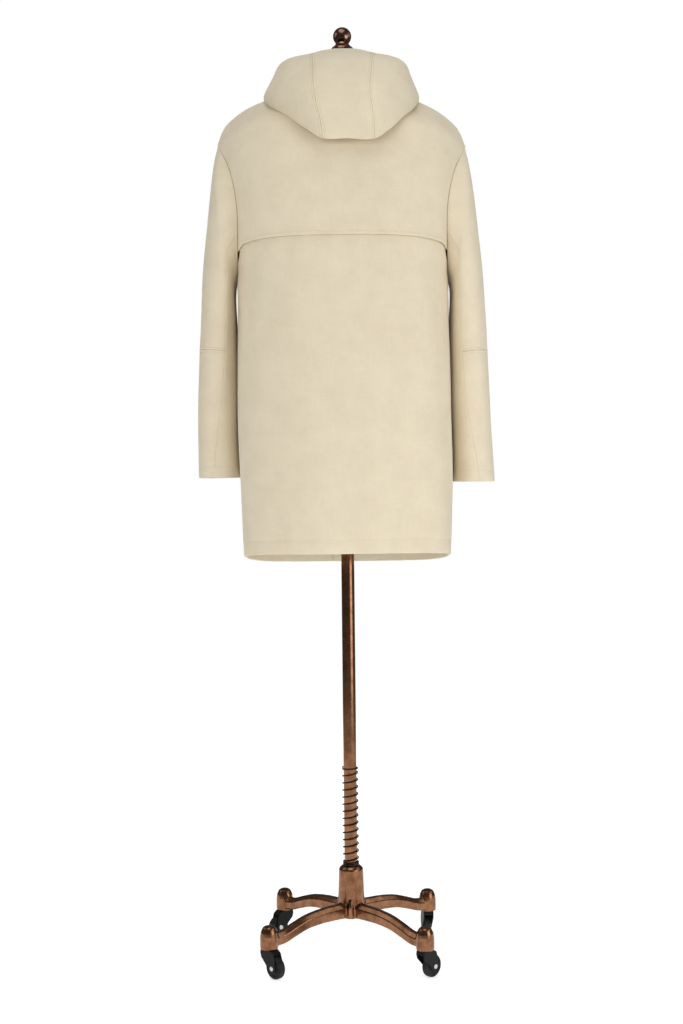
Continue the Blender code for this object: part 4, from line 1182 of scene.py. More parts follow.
@dataclass(frozen=True)
class SleeveShape:
    """Surface of the left sleeve; angle 0 is its outer line and 90 its back."""

    armhole: Armhole = Armhole()
    rows: tuple[SleeveRow, ...] = (
        SleeveRow(0.2300, 1.440, 0.1930, 1.222, 0.0865, 0.000),
        SleeveRow(0.2375, 1.390, 0.1945, 1.208, 0.0860, -0.001),
        SleeveRow(0.2450, 1.325, 0.1945, 1.190, 0.0830, -0.003),
        SleeveRow(0.2530, 1.255, 0.1935, 1.168, 0.0790, -0.006),
        SleeveRow(0.2580, 1.180, 0.1928, 1.138, 0.0745, -0.010),
        SleeveRow(0.2620, 1.107, 0.1926, 1.100, 0.0705, -0.015),
        SleeveRow(0.2660, 1.030, 0.1930, 1.030, 0.0660, -0.021),
        SleeveRow(0.2690, 0.955, 0.1945, 0.955, 0.0610, -0.027),
        SleeveRow(0.2720, 0.870, 0.1950, 0.870, 0.0560, -0.033),
    )
    fullness: float = 2.3
    elbow_row: float = 6.0
    cuff_row: float = 9.0
    front_seam: float = -7 * 180.0 / 11
    seam_rows: tuple[float, ...] = (0, 6, 7, 8, 9)
    seam_angles: tuple[float, ...] = (7 * 180.0 / 11, 7 * 180.0 / 11, 106, 94, 82)
    rise_rows: tuple[float, ...] = (0.0, 3.0, 6.0, 9.0)
    left_rise: tuple[float, ...] = (0.0, 0.0, 0.0, 5.5 * MM)
    right_rise: tuple[float, ...] = (0.0, -1.5 * MM, -6.0 * MM, -6.0 * MM)

    def point(self, angle: float, row: float) -> Vector:
        """Point of the sleeve at an angle round it and a row down it."""
        angle = (angle + 180.0) % 360.0 - 180.0
        turn = math.radians(angle)
        exponent = 2.0 / self.fullness
        across = power(math.cos(turn), exponent)
        backward = power(math.sin(turn), exponent)
        edge = self.armhole.point(abs(angle))
        points = [Vector((edge.x, math.copysign(edge.y, angle), edge.z))]
        for row_sizes in self.rows:
            outer = Vector((row_sizes.outer_x, row_sizes.centre_y, row_sizes.outer_z))
            inner = Vector((row_sizes.inner_x, row_sizes.centre_y, row_sizes.inner_z))
            points.append((outer + inner) * 0.5 + (outer - inner) * (0.5 * across)
                          + Vector((0.0, row_sizes.depth * backward, 0.0)))
        return smooth(range(len(points)), points, row)

    def back_seam(self, row: float) -> float:
        """Angle of the back seam, which sweeps outward below the elbow."""
        return smooth(self.seam_rows, self.seam_angles, row)

    def limits(self, row: float, outer: bool) -> tuple[float, float]:
        """First and last angle of the outer or the under piece at a row."""
        if outer:
            return self.front_seam, self.back_seam(row)
        return self.back_seam(row), 360.0 + self.front_seam

    def grid(self, shares: Sequence[float], rows: Sequence[float], outer: bool,
             side: Side) -> Grid:
        """Grid of a sleeve piece over shares of its width and rows down the sleeve."""
        rises = self.left_rise if side is Side.LEFT else self.right_rise
        grid = []
        for row in rows:
            first, last = self.limits(row, outer)
            rise = Vector((0.0, 0.0, smooth(self.rise_rows, rises, row)))
            grid.append([self.point(first + (last - first) * share, row) + rise
                         for share in shares])
        return grid


@dataclass(frozen=True)
class HoodLine:
    """A line round the hood: radius and height at each angle from the centre back."""

    radius: tuple[float, ...]
    height: tuple[float, ...]


@dataclass(frozen=True)
class HoodShape:
    """Surface of the hood laid back: from the neck seam under, round its fold, to the rim."""

    body: BodyShape = BodyShape()
    angles: tuple[float, ...] = (0, 16, 26, 45, 90, 135, 165)
    lines: tuple[HoodLine, ...] = (
        HoodLine((0.0895, 0.0893, 0.0889, 0.0880, 0.0865, 0.0920, 0.0975),
                 (1.5611, 1.5620, 1.5639, 1.5681, 1.5711, 1.5321, 1.4951)),
        HoodLine((0.1040, 0.1050, 0.1039, 0.1010, 0.0990, 0.0970, 0.0985),
                 (1.5740, 1.5750, 1.5766, 1.5800, 1.5830, 1.5470, 1.4990)),
        HoodLine((0.1330, 0.1370, 0.1350, 0.1280, 0.1180, 0.1040, 0.0995),
                 (1.5240, 1.5255, 1.5295, 1.5450, 1.5680, 1.5540, 1.5030)),
        HoodLine((0.1580, 0.1640, 0.1620, 0.1540, 0.1320, 0.1110, 0.1005),
                 (1.4560, 1.4568, 1.4750, 1.5100, 1.5565, 1.5590, 1.5070)),
        HoodLine((0.1770, 0.1830, 0.1786, 0.1635, 0.1355, 0.1150, 0.1015),
                 (1.4900, 1.4892, 1.5035, 1.5370, 1.5625, 1.5650, 1.5110)),
        HoodLine((0.1740, 0.1775, 0.1707, 0.1525, 0.1207, 0.1135, 0.1020),
                 (1.5490, 1.5510, 1.5598, 1.5800, 1.5860, 1.5715, 1.5150)),
        HoodLine((0.1430, 0.1455, 0.1440, 0.1375, 0.1085, 0.1095, 0.1020),
                 (1.6000, 1.6008, 1.6035, 1.6080, 1.6025, 1.5770, 1.5190)),
        HoodLine((0.0950, 0.0955, 0.0965, 0.0985, 0.0975, 0.1050, 0.1015),
                 (1.6282, 1.6276, 1.6256, 1.6205, 1.6105, 1.5800, 1.5225)),
    )
    gusset_lines: tuple[float, ...] = (0, 2, 3, 5, 7)
    gusset_half_width: tuple[float, ...] = (0.0448, 0.0445, 0.0450, 0.0490, 0.0570)
    front_angle: float = 165.0
    neck_seam_angle: float = 30.0
    gusset_start_angle: float = 20.0
    gusset_tries: int = 12
    clearance: float = 0.6 * MM

    def point(self, angle: float, share: float) -> Vector:
        """Point at an angle from the centre back and a share of the way to the rim."""
        if share <= 0.0:
            point = self.body.neck_point(abs(angle))
            return Vector((math.copysign(point.x, angle), point.y, point.z + self.clearance))
        last = len(self.lines) - 1
        radius, height = self.profile(round(abs(angle), 6), share * last)
        turn = math.radians(angle)
        return Vector((radius * math.sin(turn), self.body.neck_y + radius * math.cos(turn),
                       height))

    def profile(self, angle: float, place: float) -> tuple[float, float]:
        """Radius and height at an angle and a place among the lines."""
        radii, heights = self.at_angle(angle)
        knots = range(len(self.lines))
        return smooth(knots, radii, place), smooth(knots, heights, place)

    @lru_cache(maxsize=40000)
    def at_angle(self, angle: float) -> tuple[tuple[float, ...], tuple[float, ...]]:
        """Radii and heights of every line at one angle."""
        angles = (-self.angles[1],) + self.angles
        return (tuple(smooth(angles, (line.radius[1],) + line.radius, angle)
                      for line in self.lines),
                tuple(smooth(angles, (line.height[1],) + line.height, angle)
                      for line in self.lines))

    def gusset_angle(self, share: float) -> float:
        """Angle of the gusset's side seam at a share of the way to the rim."""
        if share <= 0.0:
            return self.neck_seam_angle
        half_width = smooth(self.gusset_lines, self.gusset_half_width,
                            share * (len(self.lines) - 1))
        angle = self.gusset_start_angle
        for _ in range(self.gusset_tries):
            reach = self.point(angle, share)
            radius = math.hypot(reach.x, reach.y - self.body.neck_y)
            angle = math.degrees(math.asin(half_width / radius))
        return angle


# The coat


@dataclass
class CoatBody:
    """Back, storm flap, two fronts and their facings."""

    finishes: Finishes
    shape: BodyShape = field(default_factory=BodyShape)
    step: float = 9.0 * MM
    wall: float = 2.8 * MM
    facing_thickness: float = 1.4 * MM
    layer_gap: float = 0.6 * MM
    flap_row: float = 5.0 + 3 * 6.0 / 11
    flap_free_width: float = 0.75
    flap_flare: float = 2.4 * MM
    flap_flare_rows: float = 0.45
    flap_stitch: float = 6.5 * MM
    sink_rows: float = 0.5
    width_row: float = 3.0
    length_across: float = 0.3
    lap: float = 0.05
    lap_drop: float = 5.1 * MM
    lap_blend: tuple[float, float] = (0.34, 0.12)
    facing_edge: float = 4 / 12
    facing_row: float = 2.4
    hem_stitch: float = 25.0 * MM
    closing_stitch: float = 7.0 * MM
    drape: Drape = field(default_factory=lambda: Drape(creases=(
        Crease((0.150, 0.11, 1.30), (0.172, 0.075, 1.05), 0.016, -1.6 * MM),
        Crease((-0.150, 0.11, 1.31), (-0.174, 0.072, 1.08), 0.018, -1.8 * MM),
        Crease((0.188, 0.045, 1.22), (0.150, 0.12, 1.12), 0.013, 1.2 * MM),
        Crease((-0.188, 0.045, 1.22), (-0.155, 0.118, 1.10), 0.014, 1.3 * MM),
        Crease((0.045, 0.15, 1.20), (0.060, 0.15, 0.80), 0.030, 1.0 * MM),
        Crease((-0.085, 0.15, 1.18), (-0.100, 0.15, 0.78), 0.034, -1.2 * MM),
        Crease((0.070, -0.15, 1.40), (0.100, -0.16, 1.10), 0.024, 1.3 * MM),
        Crease((-0.080, -0.15, 1.38), (-0.110, -0.155, 1.12), 0.026, 1.2 * MM),
    )))

    def build(self, stitching: Stitching) -> None:
        """Make the body's panels.

        Args:
            stitching: takes their stitch rows.
        """
        self.build_back(stitching)
        self.build_fronts(stitching)

    def sunk(self, row: float, across: float) -> float:
        """How far the back lies in under its flap: 0 where the flap stands proud, 1 at seams."""
        outward = ease((abs(across) - self.flap_free_width) / (1.0 - self.flap_free_width))
        if row < self.flap_row:
            return outward * ease((row - self.flap_row + self.sink_rows) / self.sink_rows)
        upward = (row - self.flap_row) / (self.shape.top - self.flap_row)
        return 1.0 - (1.0 - upward) * (1.0 - outward)

    def columns(self, back: bool, first: float, start: Border) -> list[float]:
        """Places across a panel, from its first one to the left side seam."""
        return stations(lambda a: self.shape.point(a, self.width_row, back), first, 1.0,
                        self.step, start.marks(), PLAIN_SEAM.marks())

    def rows(self, back: bool, first: float, start: Border) -> list[float]:
        """Places up a panel, from its first one to the neck and shoulder seams."""
        return stations(lambda r: self.shape.point(self.length_across, r, back), first,
                        self.shape.top, self.step, start.marks(), PLAIN_SEAM.marks())

    def build_back(self, stitching: Stitching) -> None:
        """Back panel, drawn in under the flap, and the loose storm flap over it."""
        hem = hemmed(self.hem_stitch)
        columns = self.columns(True, -1.0, PLAIN_SEAM)
        rows = self.rows(True, 0.0, hem)
        grid = self.shape.grid(columns, rows, True)
        normals = grid_normals(grid, -1.0)
        layer = self.wall + self.layer_gap
        inset = shifted(grid, normals, lambda r, c: -layer * self.sunk(rows[r], columns[c]))
        Panel("wool_back", "coat_back", inset, -1.0, self.finishes.wool, drape=self.drape,
              borders={Edge.START_ROW: hem, Edge.END_ROW: PLAIN_SEAM,
                       Edge.START_COLUMN: PLAIN_SEAM, Edge.END_COLUMN: PLAIN_SEAM},
              rests_on=("dress_form", "coat_front_left", "coat_front_right")).build(stitching)

        edge = hemmed(self.flap_stitch)
        rows = self.rows(True, self.flap_row, edge)
        grid = self.shape.grid(columns, rows, True)
        normals = grid_normals(grid, -1.0)

        def stand(r: int, c: int) -> float:
            flare = ease((self.flap_row + self.flap_flare_rows - rows[r]) / self.flap_flare_rows)
            free = 1.0 - self.sunk(rows[r], columns[c])
            return (layer + self.flap_flare * flare) * free

        proud = shifted(grid, normals, stand)
        Panel("wool_storm_flap", "coat_back_flap", proud, -1.0, self.finishes.wool,
              drape=self.drape, borders={Edge.START_ROW: edge, Edge.END_ROW: PLAIN_SEAM,
                                         Edge.START_COLUMN: PLAIN_SEAM,
                                         Edge.END_COLUMN: PLAIN_SEAM},
              rests_on=("coat_back",)).build(stitching)

    def build_fronts(self, stitching: Stitching) -> None:
        """Left front over right front, with their facings inside the hem."""
        hem = hemmed(self.hem_stitch)
        closing = hemmed(self.closing_stitch)
        columns = self.columns(False, -self.lap, closing)
        rows = self.rows(False, 0.0, hem)
        grid = self.shape.grid(columns, rows, False)
        normals = grid_normals(grid, 1.0)
        start, end = self.lap_blend
        under = shifted(grid, normals, lambda r, c: -self.lap_drop
                        * ease((start - columns[c]) / (start - end)))
        borders = {Edge.START_ROW: hem, Edge.END_ROW: PLAIN_SEAM,
                   Edge.START_COLUMN: closing, Edge.END_COLUMN: PLAIN_SEAM}
        for side, surface in ((Side.LEFT, grid), (Side.RIGHT, under)):
            flip = side is Side.RIGHT
            Panel(f"wool_front_{side.word}", f"coat_front_{side.word}", surface, 1.0,
                  self.finishes.wool, drape=self.drape, borders=borders, flip=flip,
                  rests_on=("dress_form", "coat_back")).build(stitching)
            self.build_facing(side, surface, columns, rows, stitching)

    def build_facing(self, side: Side, surface: Grid, columns: Sequence[float],
                     rows: Sequence[float], stitching: Stitching) -> None:
        """Facing strip inside a front's lower end.

        Args:
            side: the front's side.
            surface: the front's outer points.
            columns: places across of its columns.
            rows: places of its rows.
            stitching: takes its stitch rows.
        """
        normals = grid_normals(surface, 1.0)
        draped = shifted(surface, normals, lambda r, c: self.drape.height(surface[r][c]))
        inside = shifted(draped, grid_normals(draped, 1.0),
                         lambda r, c: -self.wall - 0.5 * self.layer_gap)
        high = sum(row <= self.facing_row for row in rows)
        wide = sum(across <= self.facing_edge for across in columns)
        strip = [line[:wide] for line in inside[:high]]
        edge = Border(drop=0.5 * MM, lift=0.6 * MM, reach=1.0 * MM, gap=0.0)
        Panel(f"facing_{side.word}", f"coat_facing_{side.word}", strip, 1.0,
              self.finishes.facing, slot="cream_facing", thickness=self.facing_thickness,
              borders={each: edge for each in Edge}, flip=side is Side.RIGHT, hold=Hold.HUNG,
              rests_on=(f"coat_front_{side.word}",)).build(stitching)


@dataclass
class Sleeves:
    """Left and right sleeve of three panels each."""

    finishes: Finishes
    shape: SleeveShape = field(default_factory=SleeveShape)
    step: float = 9.0 * MM
    cuff_stitch: float = 20.0 * MM
    drapes: dict[Side, Drape] = field(default_factory=lambda: {
        Side.LEFT: Drape(broad=1.3 * MM, broad_scale=(10.0, 9.0, 6.0), seed=7.7, creases=(
            Crease((0.247, 0.070, 1.33), (0.205, 0.080, 1.22), 0.014, 1.8 * MM),
            Crease((0.252, 0.060, 1.17), (0.215, 0.070, 1.12), 0.013, 1.6 * MM),
            Crease((0.216, 0.072, 1.30), (0.214, 0.065, 1.12), 0.010, -1.4 * MM),
            Crease((0.262, 0.030, 1.10), (0.225, 0.052, 1.06), 0.014, -1.6 * MM),
            Crease((0.240, 0.055, 1.02), (0.246, 0.030, 0.92), 0.016, 1.2 * MM),
            Crease((0.255, -0.080, 1.15), (0.225, -0.085, 1.08), 0.016, 2.0 * MM),
        )),
        Side.RIGHT: Drape(broad=1.3 * MM, broad_scale=(10.0, 9.0, 6.0), seed=12.4, creases=(
            Crease((0.245, 0.072, 1.35), (0.203, 0.080, 1.25), 0.014, 1.6 * MM),
            Crease((0.255, 0.058, 1.20), (0.213, 0.072, 1.13), 0.014, 1.9 * MM),
            Crease((0.262, 0.040, 1.12), (0.222, 0.060, 1.09), 0.010, -1.5 * MM),
            Crease((0.258, 0.040, 1.06), (0.230, 0.045, 0.98), 0.015, 1.4 * MM),
            Crease((0.250, -0.082, 1.18), (0.222, -0.085, 1.10), 0.016, 2.0 * MM),
        )),
    })

    def build(self, stitching: Stitching) -> None:
        """Make both sleeves.

        Args:
            stitching: takes their stitch rows.
        """
        shape = self.shape
        seam = PLAIN_SEAM
        elbow = TOPSTITCHED_SEAM
        cuff = hemmed(self.cuff_stitch)
        upper = stations(lambda r: shape.point(0.0, r), 0.0, shape.elbow_row, self.step,
                         seam.marks(), elbow.marks())
        lower = stations(lambda r: shape.point(0.0, r), shape.elbow_row, shape.cuff_row,
                         self.step, elbow.marks(), cuff.marks())
        whole = stations(lambda r: shape.point(120.0, r), 0.0, shape.cuff_row, self.step,
                         seam.marks(), cuff.marks())

        def shares(outer: bool) -> list[float]:
            first, last = shape.limits(4.0, outer)
            return stations(lambda s: shape.point(first + (last - first) * s, 4.0), 0.0, 1.0,
                            self.step * 0.8, seam.marks(), seam.marks())

        outer_shares, under_shares = shares(True), shares(False)
        parts = (("upper_outer", upper, outer_shares, True, seam, elbow),
                 ("lower_outer", lower, outer_shares, True, elbow, cuff),
                 ("under", whole, under_shares, False, seam, cuff))
        for side in Side:
            for name, rows, columns, outer, start, end in parts:
                Panel(f"wool_sleeve_{side.word}_{name}", f"sleeve_{side.word}_{name}",
                      shape.grid(columns, rows, outer, side), -1.0, self.finishes.wool,
                      drape=self.drapes[side], flip=side is Side.RIGHT,
                      borders={Edge.START_ROW: start, Edge.END_ROW: end,
                               Edge.START_COLUMN: seam, Edge.END_COLUMN: seam},
                      rests_on=("coat_back", f"coat_front_{side.word}")).build(stitching)


@dataclass
class Hood:
    """Hood of a centre gusset between two side panels, laid back on the shoulders."""

    finishes: Finishes
    shape: HoodShape = field(default_factory=HoodShape)
    step: float = 7.0 * MM
    rim: Border = field(default_factory=lambda: hemmed(22.0 * MM))
    drape: Drape = field(default_factory=lambda: Drape(
        broad=0.9 * MM, broad_scale=(16.0, 12.0, 14.0), small=0.35 * MM, seed=5.2))

    def build(self, stitching: Stitching) -> None:
        """Make the three panels.

        Args:
            stitching: takes their stitch rows.
        """
        shape = self.shape
        seam = TOPSTITCHED_SEAM
        shares = stations(lambda s: shape.point(25.0, s), 0.0, 1.0, self.step,
                          PLAIN_SEAM.marks(), self.rim.marks())
        middle = 0.55
        half = shape.gusset_angle(middle)
        gusset_columns = stations(lambda t: shape.point(half * t, middle), -1.0, 1.0, self.step,
                                  seam.marks(), seam.marks())
        side_columns = stations(
            lambda t: shape.point(half + (shape.front_angle - half) * t, middle), 0.0, 1.0,
            self.step, seam.marks(), FOLDED_EDGE.marks())
        gusset = []
        side = []
        for share in shares:
            half = shape.gusset_angle(share)
            gusset.append([shape.point(half * t, share) for t in gusset_columns])
            side.append([shape.point(half + (shape.front_angle - half) * t, share)
                         for t in side_columns])
        Panel("wool_hood_gusset", "hood_gusset", gusset, -1.0, self.finishes.wool,
              drape=self.drape, hold=Hold.DRAPED, rests_on=("coat_back_flap",),
              hang=HOOD_HANG,
              borders={Edge.START_ROW: PLAIN_SEAM, Edge.END_ROW: self.rim,
                       Edge.START_COLUMN: seam, Edge.END_COLUMN: seam}).build(stitching)
        for each in Side:
            Panel(f"wool_hood_{each.word}", f"hood_{each.word}", side, -1.0,
                  self.finishes.wool, drape=self.drape, hold=Hold.DRAPED,
                  rests_on=("coat_back_flap", f"coat_front_{each.word}"),
                  flip=each is Side.RIGHT, hang=HOOD_HANG,
                  borders={Edge.START_ROW: PLAIN_SEAM, Edge.END_ROW: self.rim,
                           Edge.START_COLUMN: seam,
                           Edge.END_COLUMN: FOLDED_EDGE}).build(stitching)


@dataclass
class Buttons:
    """Four-hole buttons down the closed front."""

    finishes: Finishes
    shape: BodyShape = field(default_factory=BodyShape)
    radius: float = 13.0 * MM
    thickness: float = 4.0 * MM
    heights: tuple[float, ...] = (1.445, 1.325, 1.205, 1.085, 0.965)
    hole_radius: float = 1.1 * MM
    hole_reach: float = 2.6 * MM
    lift: float = 0.3 * MM
    row_step: float = 0.05
    slope_step: float = 0.1

    def build(self) -> None:
        """Make a button on each of its places."""
        per_row = round(1 / self.row_step)
        rows = [k * self.row_step for k in range(int(per_row * (self.shape.top - 1)))]
        for number, height in enumerate(self.heights, start=1):
            row = min(rows, key=lambda at: abs(self.shape.section(0.0, at, False).z - height))
            centre = self.shape.section(0.0, row, False)
            slope = (self.shape.section(0.0, row + self.slope_step, False)
                     - self.shape.section(0.0, row - self.slope_step, False))
            outward = Vector((0.0, -slope.z, slope.y)).normalized()
            turn = outward.to_track_quat("Z", "Y").to_matrix().to_4x4()
            place = Matrix.Translation(COAT_HANG.point(centre + outward * self.lift)) @ turn
            self.button(f"horn_button_{number}", f"button_{number}", place)

    def button(self, name: str, node: str, place: Matrix) -> None:
        """One button with a raised rim, four eyes painted as dark discs of shade, and crossed
        thread.

        Args:
            name: the piece's name.
            node: the node that it stands for.
            place: its place, with Z outward.
        """
        top = self.thickness
        profile = rounded(((0.0, 0.0), (self.radius * 0.9, 0.0), (self.radius, top * 0.4),
                           (self.radius * 0.96, top), (self.radius * 0.80, top),
                           (self.radius * 0.66, top * 0.72), (0.0, top * 0.66)), 0.8 * MM)
        bm = bmesh.new()
        ring_surface(bm, lathe_rings(profile, 40, place))
        # Each eye is a dark disc just proud of the dish: painted shade where a hole would be, as no
        # hole is cut.
        for k in range(4):
            angle = math.tau * (k + 0.5) / 4
            spot = place @ Matrix.Translation((self.hole_reach * math.cos(angle),
                                               self.hole_reach * math.sin(angle), 0.0))
            eye = ((0.0, top * 0.60), (self.hole_radius, top * 0.60),
                   (self.hole_radius, top * 0.69), (0.0, top * 0.69))
            ring_surface(bm, lathe_rings(eye, 12, spot), 1)
        for angle in (45.0, 135.0):
            turned_place = place @ Matrix.Rotation(math.radians(angle), 4, "Z")
            rings = []
            for k in range(7):
                x = self.hole_reach * (k / 3 - 1.0)
                z = top * 0.66 + 0.5 * MM * math.cos(x / self.hole_reach * math.pi / 2)
                rings.append([turned_place @ Vector((x, 0.45 * MM * math.cos(a),
                                                     z + 0.45 * MM * math.sin(a)))
                              for a in (math.tau * j / 6 for j in range(6))])
            ring_surface(bm, rings, 2)
        piece = make_piece(name, close_mesh(name, bm),
                           [self.finishes.horn, self.finishes.eye, self.finishes.thread])
        stand_for(piece, Body.FORM.value, "cream_horn", node)
        LOG.info("%s made", name)


# The dress form and its stand


@dataclass(frozen=True)
class FormRow:
    """A level section of the dress form."""

    z: float
    half_width: float
    half_depth: float
    fullness: float


@dataclass
class DressForm:
    """Smooth limbless torso with its neck cap and knob."""

    finishes: Finishes
    rows: tuple[FormRow, ...] = (
        FormRow(0.8350, 0.146, 0.108, 2.25), FormRow(0.8400, 0.151, 0.113, 2.25),
        FormRow(0.9000, 0.158, 0.120, 2.25), FormRow(0.9800, 0.151, 0.113, 2.25),
        FormRow(1.0700, 0.142, 0.104, 2.25), FormRow(1.1600, 0.148, 0.106, 2.25),
        FormRow(1.2500, 0.160, 0.114, 2.25), FormRow(1.3300, 0.167, 0.114, 2.20),
        FormRow(1.3900, 0.172, 0.106, 2.10), FormRow(1.4350, 0.177, 0.094, 2.00),
        FormRow(1.4700, 0.180, 0.080, 1.80), FormRow(1.4950, 0.181, 0.068, 1.60),
        FormRow(1.5186, 0.176, 0.058, 1.45), FormRow(1.5353, 0.160, 0.052, 1.30),
        FormRow(1.5478, 0.130, 0.049, 1.22), FormRow(1.5577, 0.096, 0.051, 1.36),
        FormRow(1.5679, 0.070, 0.054, 1.80), FormRow(1.5840, 0.060, 0.055, 2.00),
        FormRow(1.6100, 0.055, 0.055, 2.00), FormRow(1.6332, 0.053, 0.053, 2.00),
    )
    sides: int = 72
    steps: int = 5
    inset: float = 1.2 * MM
    cap_profile: tuple[tuple[float, float], ...] = (
        (0.0, 0.0), (0.0545, 0.0), (0.0550, 0.0032), (0.0500, 0.0052), (0.0360, 0.0090),
        (0.0215, 0.0132), (0.0, 0.0132))
    knob_lift: float = 0.3 * MM
    knob_radius: float = 16.6 * MM
    knob_centre: float = 25.9 * MM
    knob_foot: tuple[tuple[float, float], ...] = (
        (0.0, 0.0), (0.0202, 0.0), (0.0206, 0.0006), (0.0203, 0.0022), (0.0196, 0.0042),
        (0.0182, 0.0060), (0.0158, 0.0078), (0.0137, 0.0096), (0.0123, 0.0118),
        (0.0117, 0.0141))

    def build(self) -> None:
        """Make the torso, the neck cap and the knob."""
        columns = range(len(self.rows))
        rings = []
        for k in range((len(self.rows) - 1) * self.steps + 1):
            at = k / self.steps
            z, wide, deep, full = (smooth(columns, [getattr(r, name) for r in self.rows], at)
                                   for name in ("z", "half_width", "half_depth", "fullness"))
            ring = []
            for n in range(self.sides):
                turn = math.tau * n / self.sides
                ring.append(COAT_HANG.point(Vector((
                    (wide - self.inset) * power(math.cos(turn), 2.0 / full),
                    (deep - self.inset) * power(math.sin(turn), 2.0 / full), z))))
            rings.append(ring)
        bm = bmesh.new()
        ring_surface(bm, rings)
        torso = make_piece("form_torso", close_mesh("form_torso", bm), [self.finishes.linen], 50)
        stand_for(torso, Body.FORM.value, "natural_linen", "dress_form")

        top = self.rows[-1].z + self.knob_lift
        cap = turned("form_neck_cap", rounded([(r, top + z) for r, z in self.cap_profile],
                                              1.2 * MM), [self.finishes.wire])
        stand_for(cap, Body.FORM.value, "dark_bronze", "neck_cap")

        foot = top + self.cap_profile[-1][1] + self.knob_lift
        start = math.asin(self.knob_foot[-1][0] / self.knob_radius)
        steps = 28
        ball = []
        for k in range(steps + 1):
            angle = (math.pi - start) * (1.0 - k / steps)
            ball.append((self.knob_radius * math.sin(angle),
                         self.knob_centre + self.knob_radius * math.cos(angle)))
        knob = turned("form_knob", [(r, foot + z) for r, z in (*self.knob_foot, *ball[1:])],
                      [self.finishes.bronze])
        stand_for(knob, Body.FORM.value, "aged_copper", "knob")


@dataclass
class Pole:
    """Pole with its sliding rod, clamp collar and compression spring."""

    finishes: Finishes
    gap: float = 0.3 * MM
    radius: float = 11.8 * MM
    bottom: float = 0.092
    top: float = 0.790
    bore_radius: float = 9.2 * MM
    bore_bottom: float = 0.400
    rod_bottom: float = 0.420
    flange_radius: float = 45.0 * MM
    flange_thickness: float = 6.0 * MM
    form_bottom: float = 0.8350
    collar_radius: float = 19.0 * MM
    collar_height: float = 28.0 * MM
    hub_top: float = 0.1665
    wire_radius: float = 1.3 * MM
    spring_top: float = 0.3466
    spring_steps: int = 24
    closed_below: int = 2
    closed_above: int = 1
    open_turns: int = 13

    def build(self) -> None:
        """Make the four pieces."""
        edge = 0.8 * MM
        pole = turned("pole_tube", rounded((
            (0.0, self.bottom), (self.radius, self.bottom), (self.radius, self.top),
            (self.bore_radius, self.top), (self.bore_radius, self.bore_bottom),
            (0.0, self.bore_bottom)), edge), [self.finishes.copper])
        stand_for(pole, Body.STAND.value, "aged_copper", "pole")

        top = self.form_bottom - self.gap
        low = top - self.flange_thickness
        rod_radius = self.bore_radius - self.gap
        rod = turned("height_rod_bar", rounded((
            (0.0, self.rod_bottom), (rod_radius, self.rod_bottom), (rod_radius, low),
            (self.flange_radius, low), (self.flange_radius, top), (0.0, top)), edge),
            [self.finishes.steel])
        stand_for(rod, Body.ROD.value, "grey_steel", "height_rod")

        inner = self.radius + self.gap
        ring_top = self.top + 4.0 * MM
        ring_low = ring_top - self.collar_height
        collar = turned("pole_clamp", rounded((
            (inner, ring_low), (self.collar_radius, ring_low), (self.collar_radius, ring_top),
            (inner, ring_top), (inner, ring_low + 5.0 * MM)), 2.0 * MM),
            [self.finishes.copper], loop=True)
        stand_for(collar, Body.STAND.value, "aged_copper", "pole_collar")
        self.build_spring()

    def spring_height(self, turns: float) -> float:
        """Height of the wire's centre after a number of turns, closed at both ends."""
        low = self.hub_top + self.gap + self.wire_radius
        closed = 2.0 * self.wire_radius + self.gap
        rise = (self.spring_top - self.wire_radius - low
                - closed * (self.closed_below + self.closed_above)) / self.open_turns
        below = min(turns, self.closed_below)
        middle = min(max(turns - self.closed_below, 0.0), self.open_turns)
        above = max(turns - self.closed_below - self.open_turns, 0.0)
        return low + closed * (below + above) + rise * middle

    def build_spring(self) -> None:
        """Coil round wire about the pole's foot."""
        radius = self.radius + 2.0 * self.gap + self.wire_radius
        turns = self.closed_below + self.open_turns + self.closed_above
        rings = []
        for step in range(turns * self.spring_steps + 1):
            angle = math.tau * step / self.spring_steps
            out = Vector((math.cos(angle), math.sin(angle), 0.0))
            centre = out * radius
            centre.z = self.spring_height(step / self.spring_steps)
            rings.append([centre + out * (self.wire_radius * math.cos(a))
                          + Vector((0.0, 0.0, self.wire_radius * math.sin(a)))
                          for a in (math.tau * k / 10 for k in range(10))])
        bm = bmesh.new()
        ring_surface(bm, rings)
        spring = make_piece("spring_coil", close_mesh("spring_coil", bm), [self.finishes.wire])
        stand_for(spring, Body.STAND.value, "dark_wire", "spring")


@dataclass(frozen=True)
class LegRow:
    """A section of a leg's bar: its distance from the axis, centre height, height and width."""

    reach: float
    centre_z: float
    height: float
    width: float


@dataclass(frozen=True)
class LegLayout:
    """Where the four legs stand and their casters turn."""

    first_angle: float = 41.2
    reach: float = 0.1928
    names: tuple[str, ...] = ("rear_left", "rear_right", "front_right", "front_left")

    def angle(self, number: int) -> float:
        """Direction of a leg in degrees from +X."""
        return self.first_angle + 90.0 * number

    def foot(self, number: int) -> Vector:
        """Caster axis of a leg on the floor."""
        turn = math.radians(self.angle(number))
        return Vector((self.reach * math.cos(turn), self.reach * math.sin(turn), 0.0))


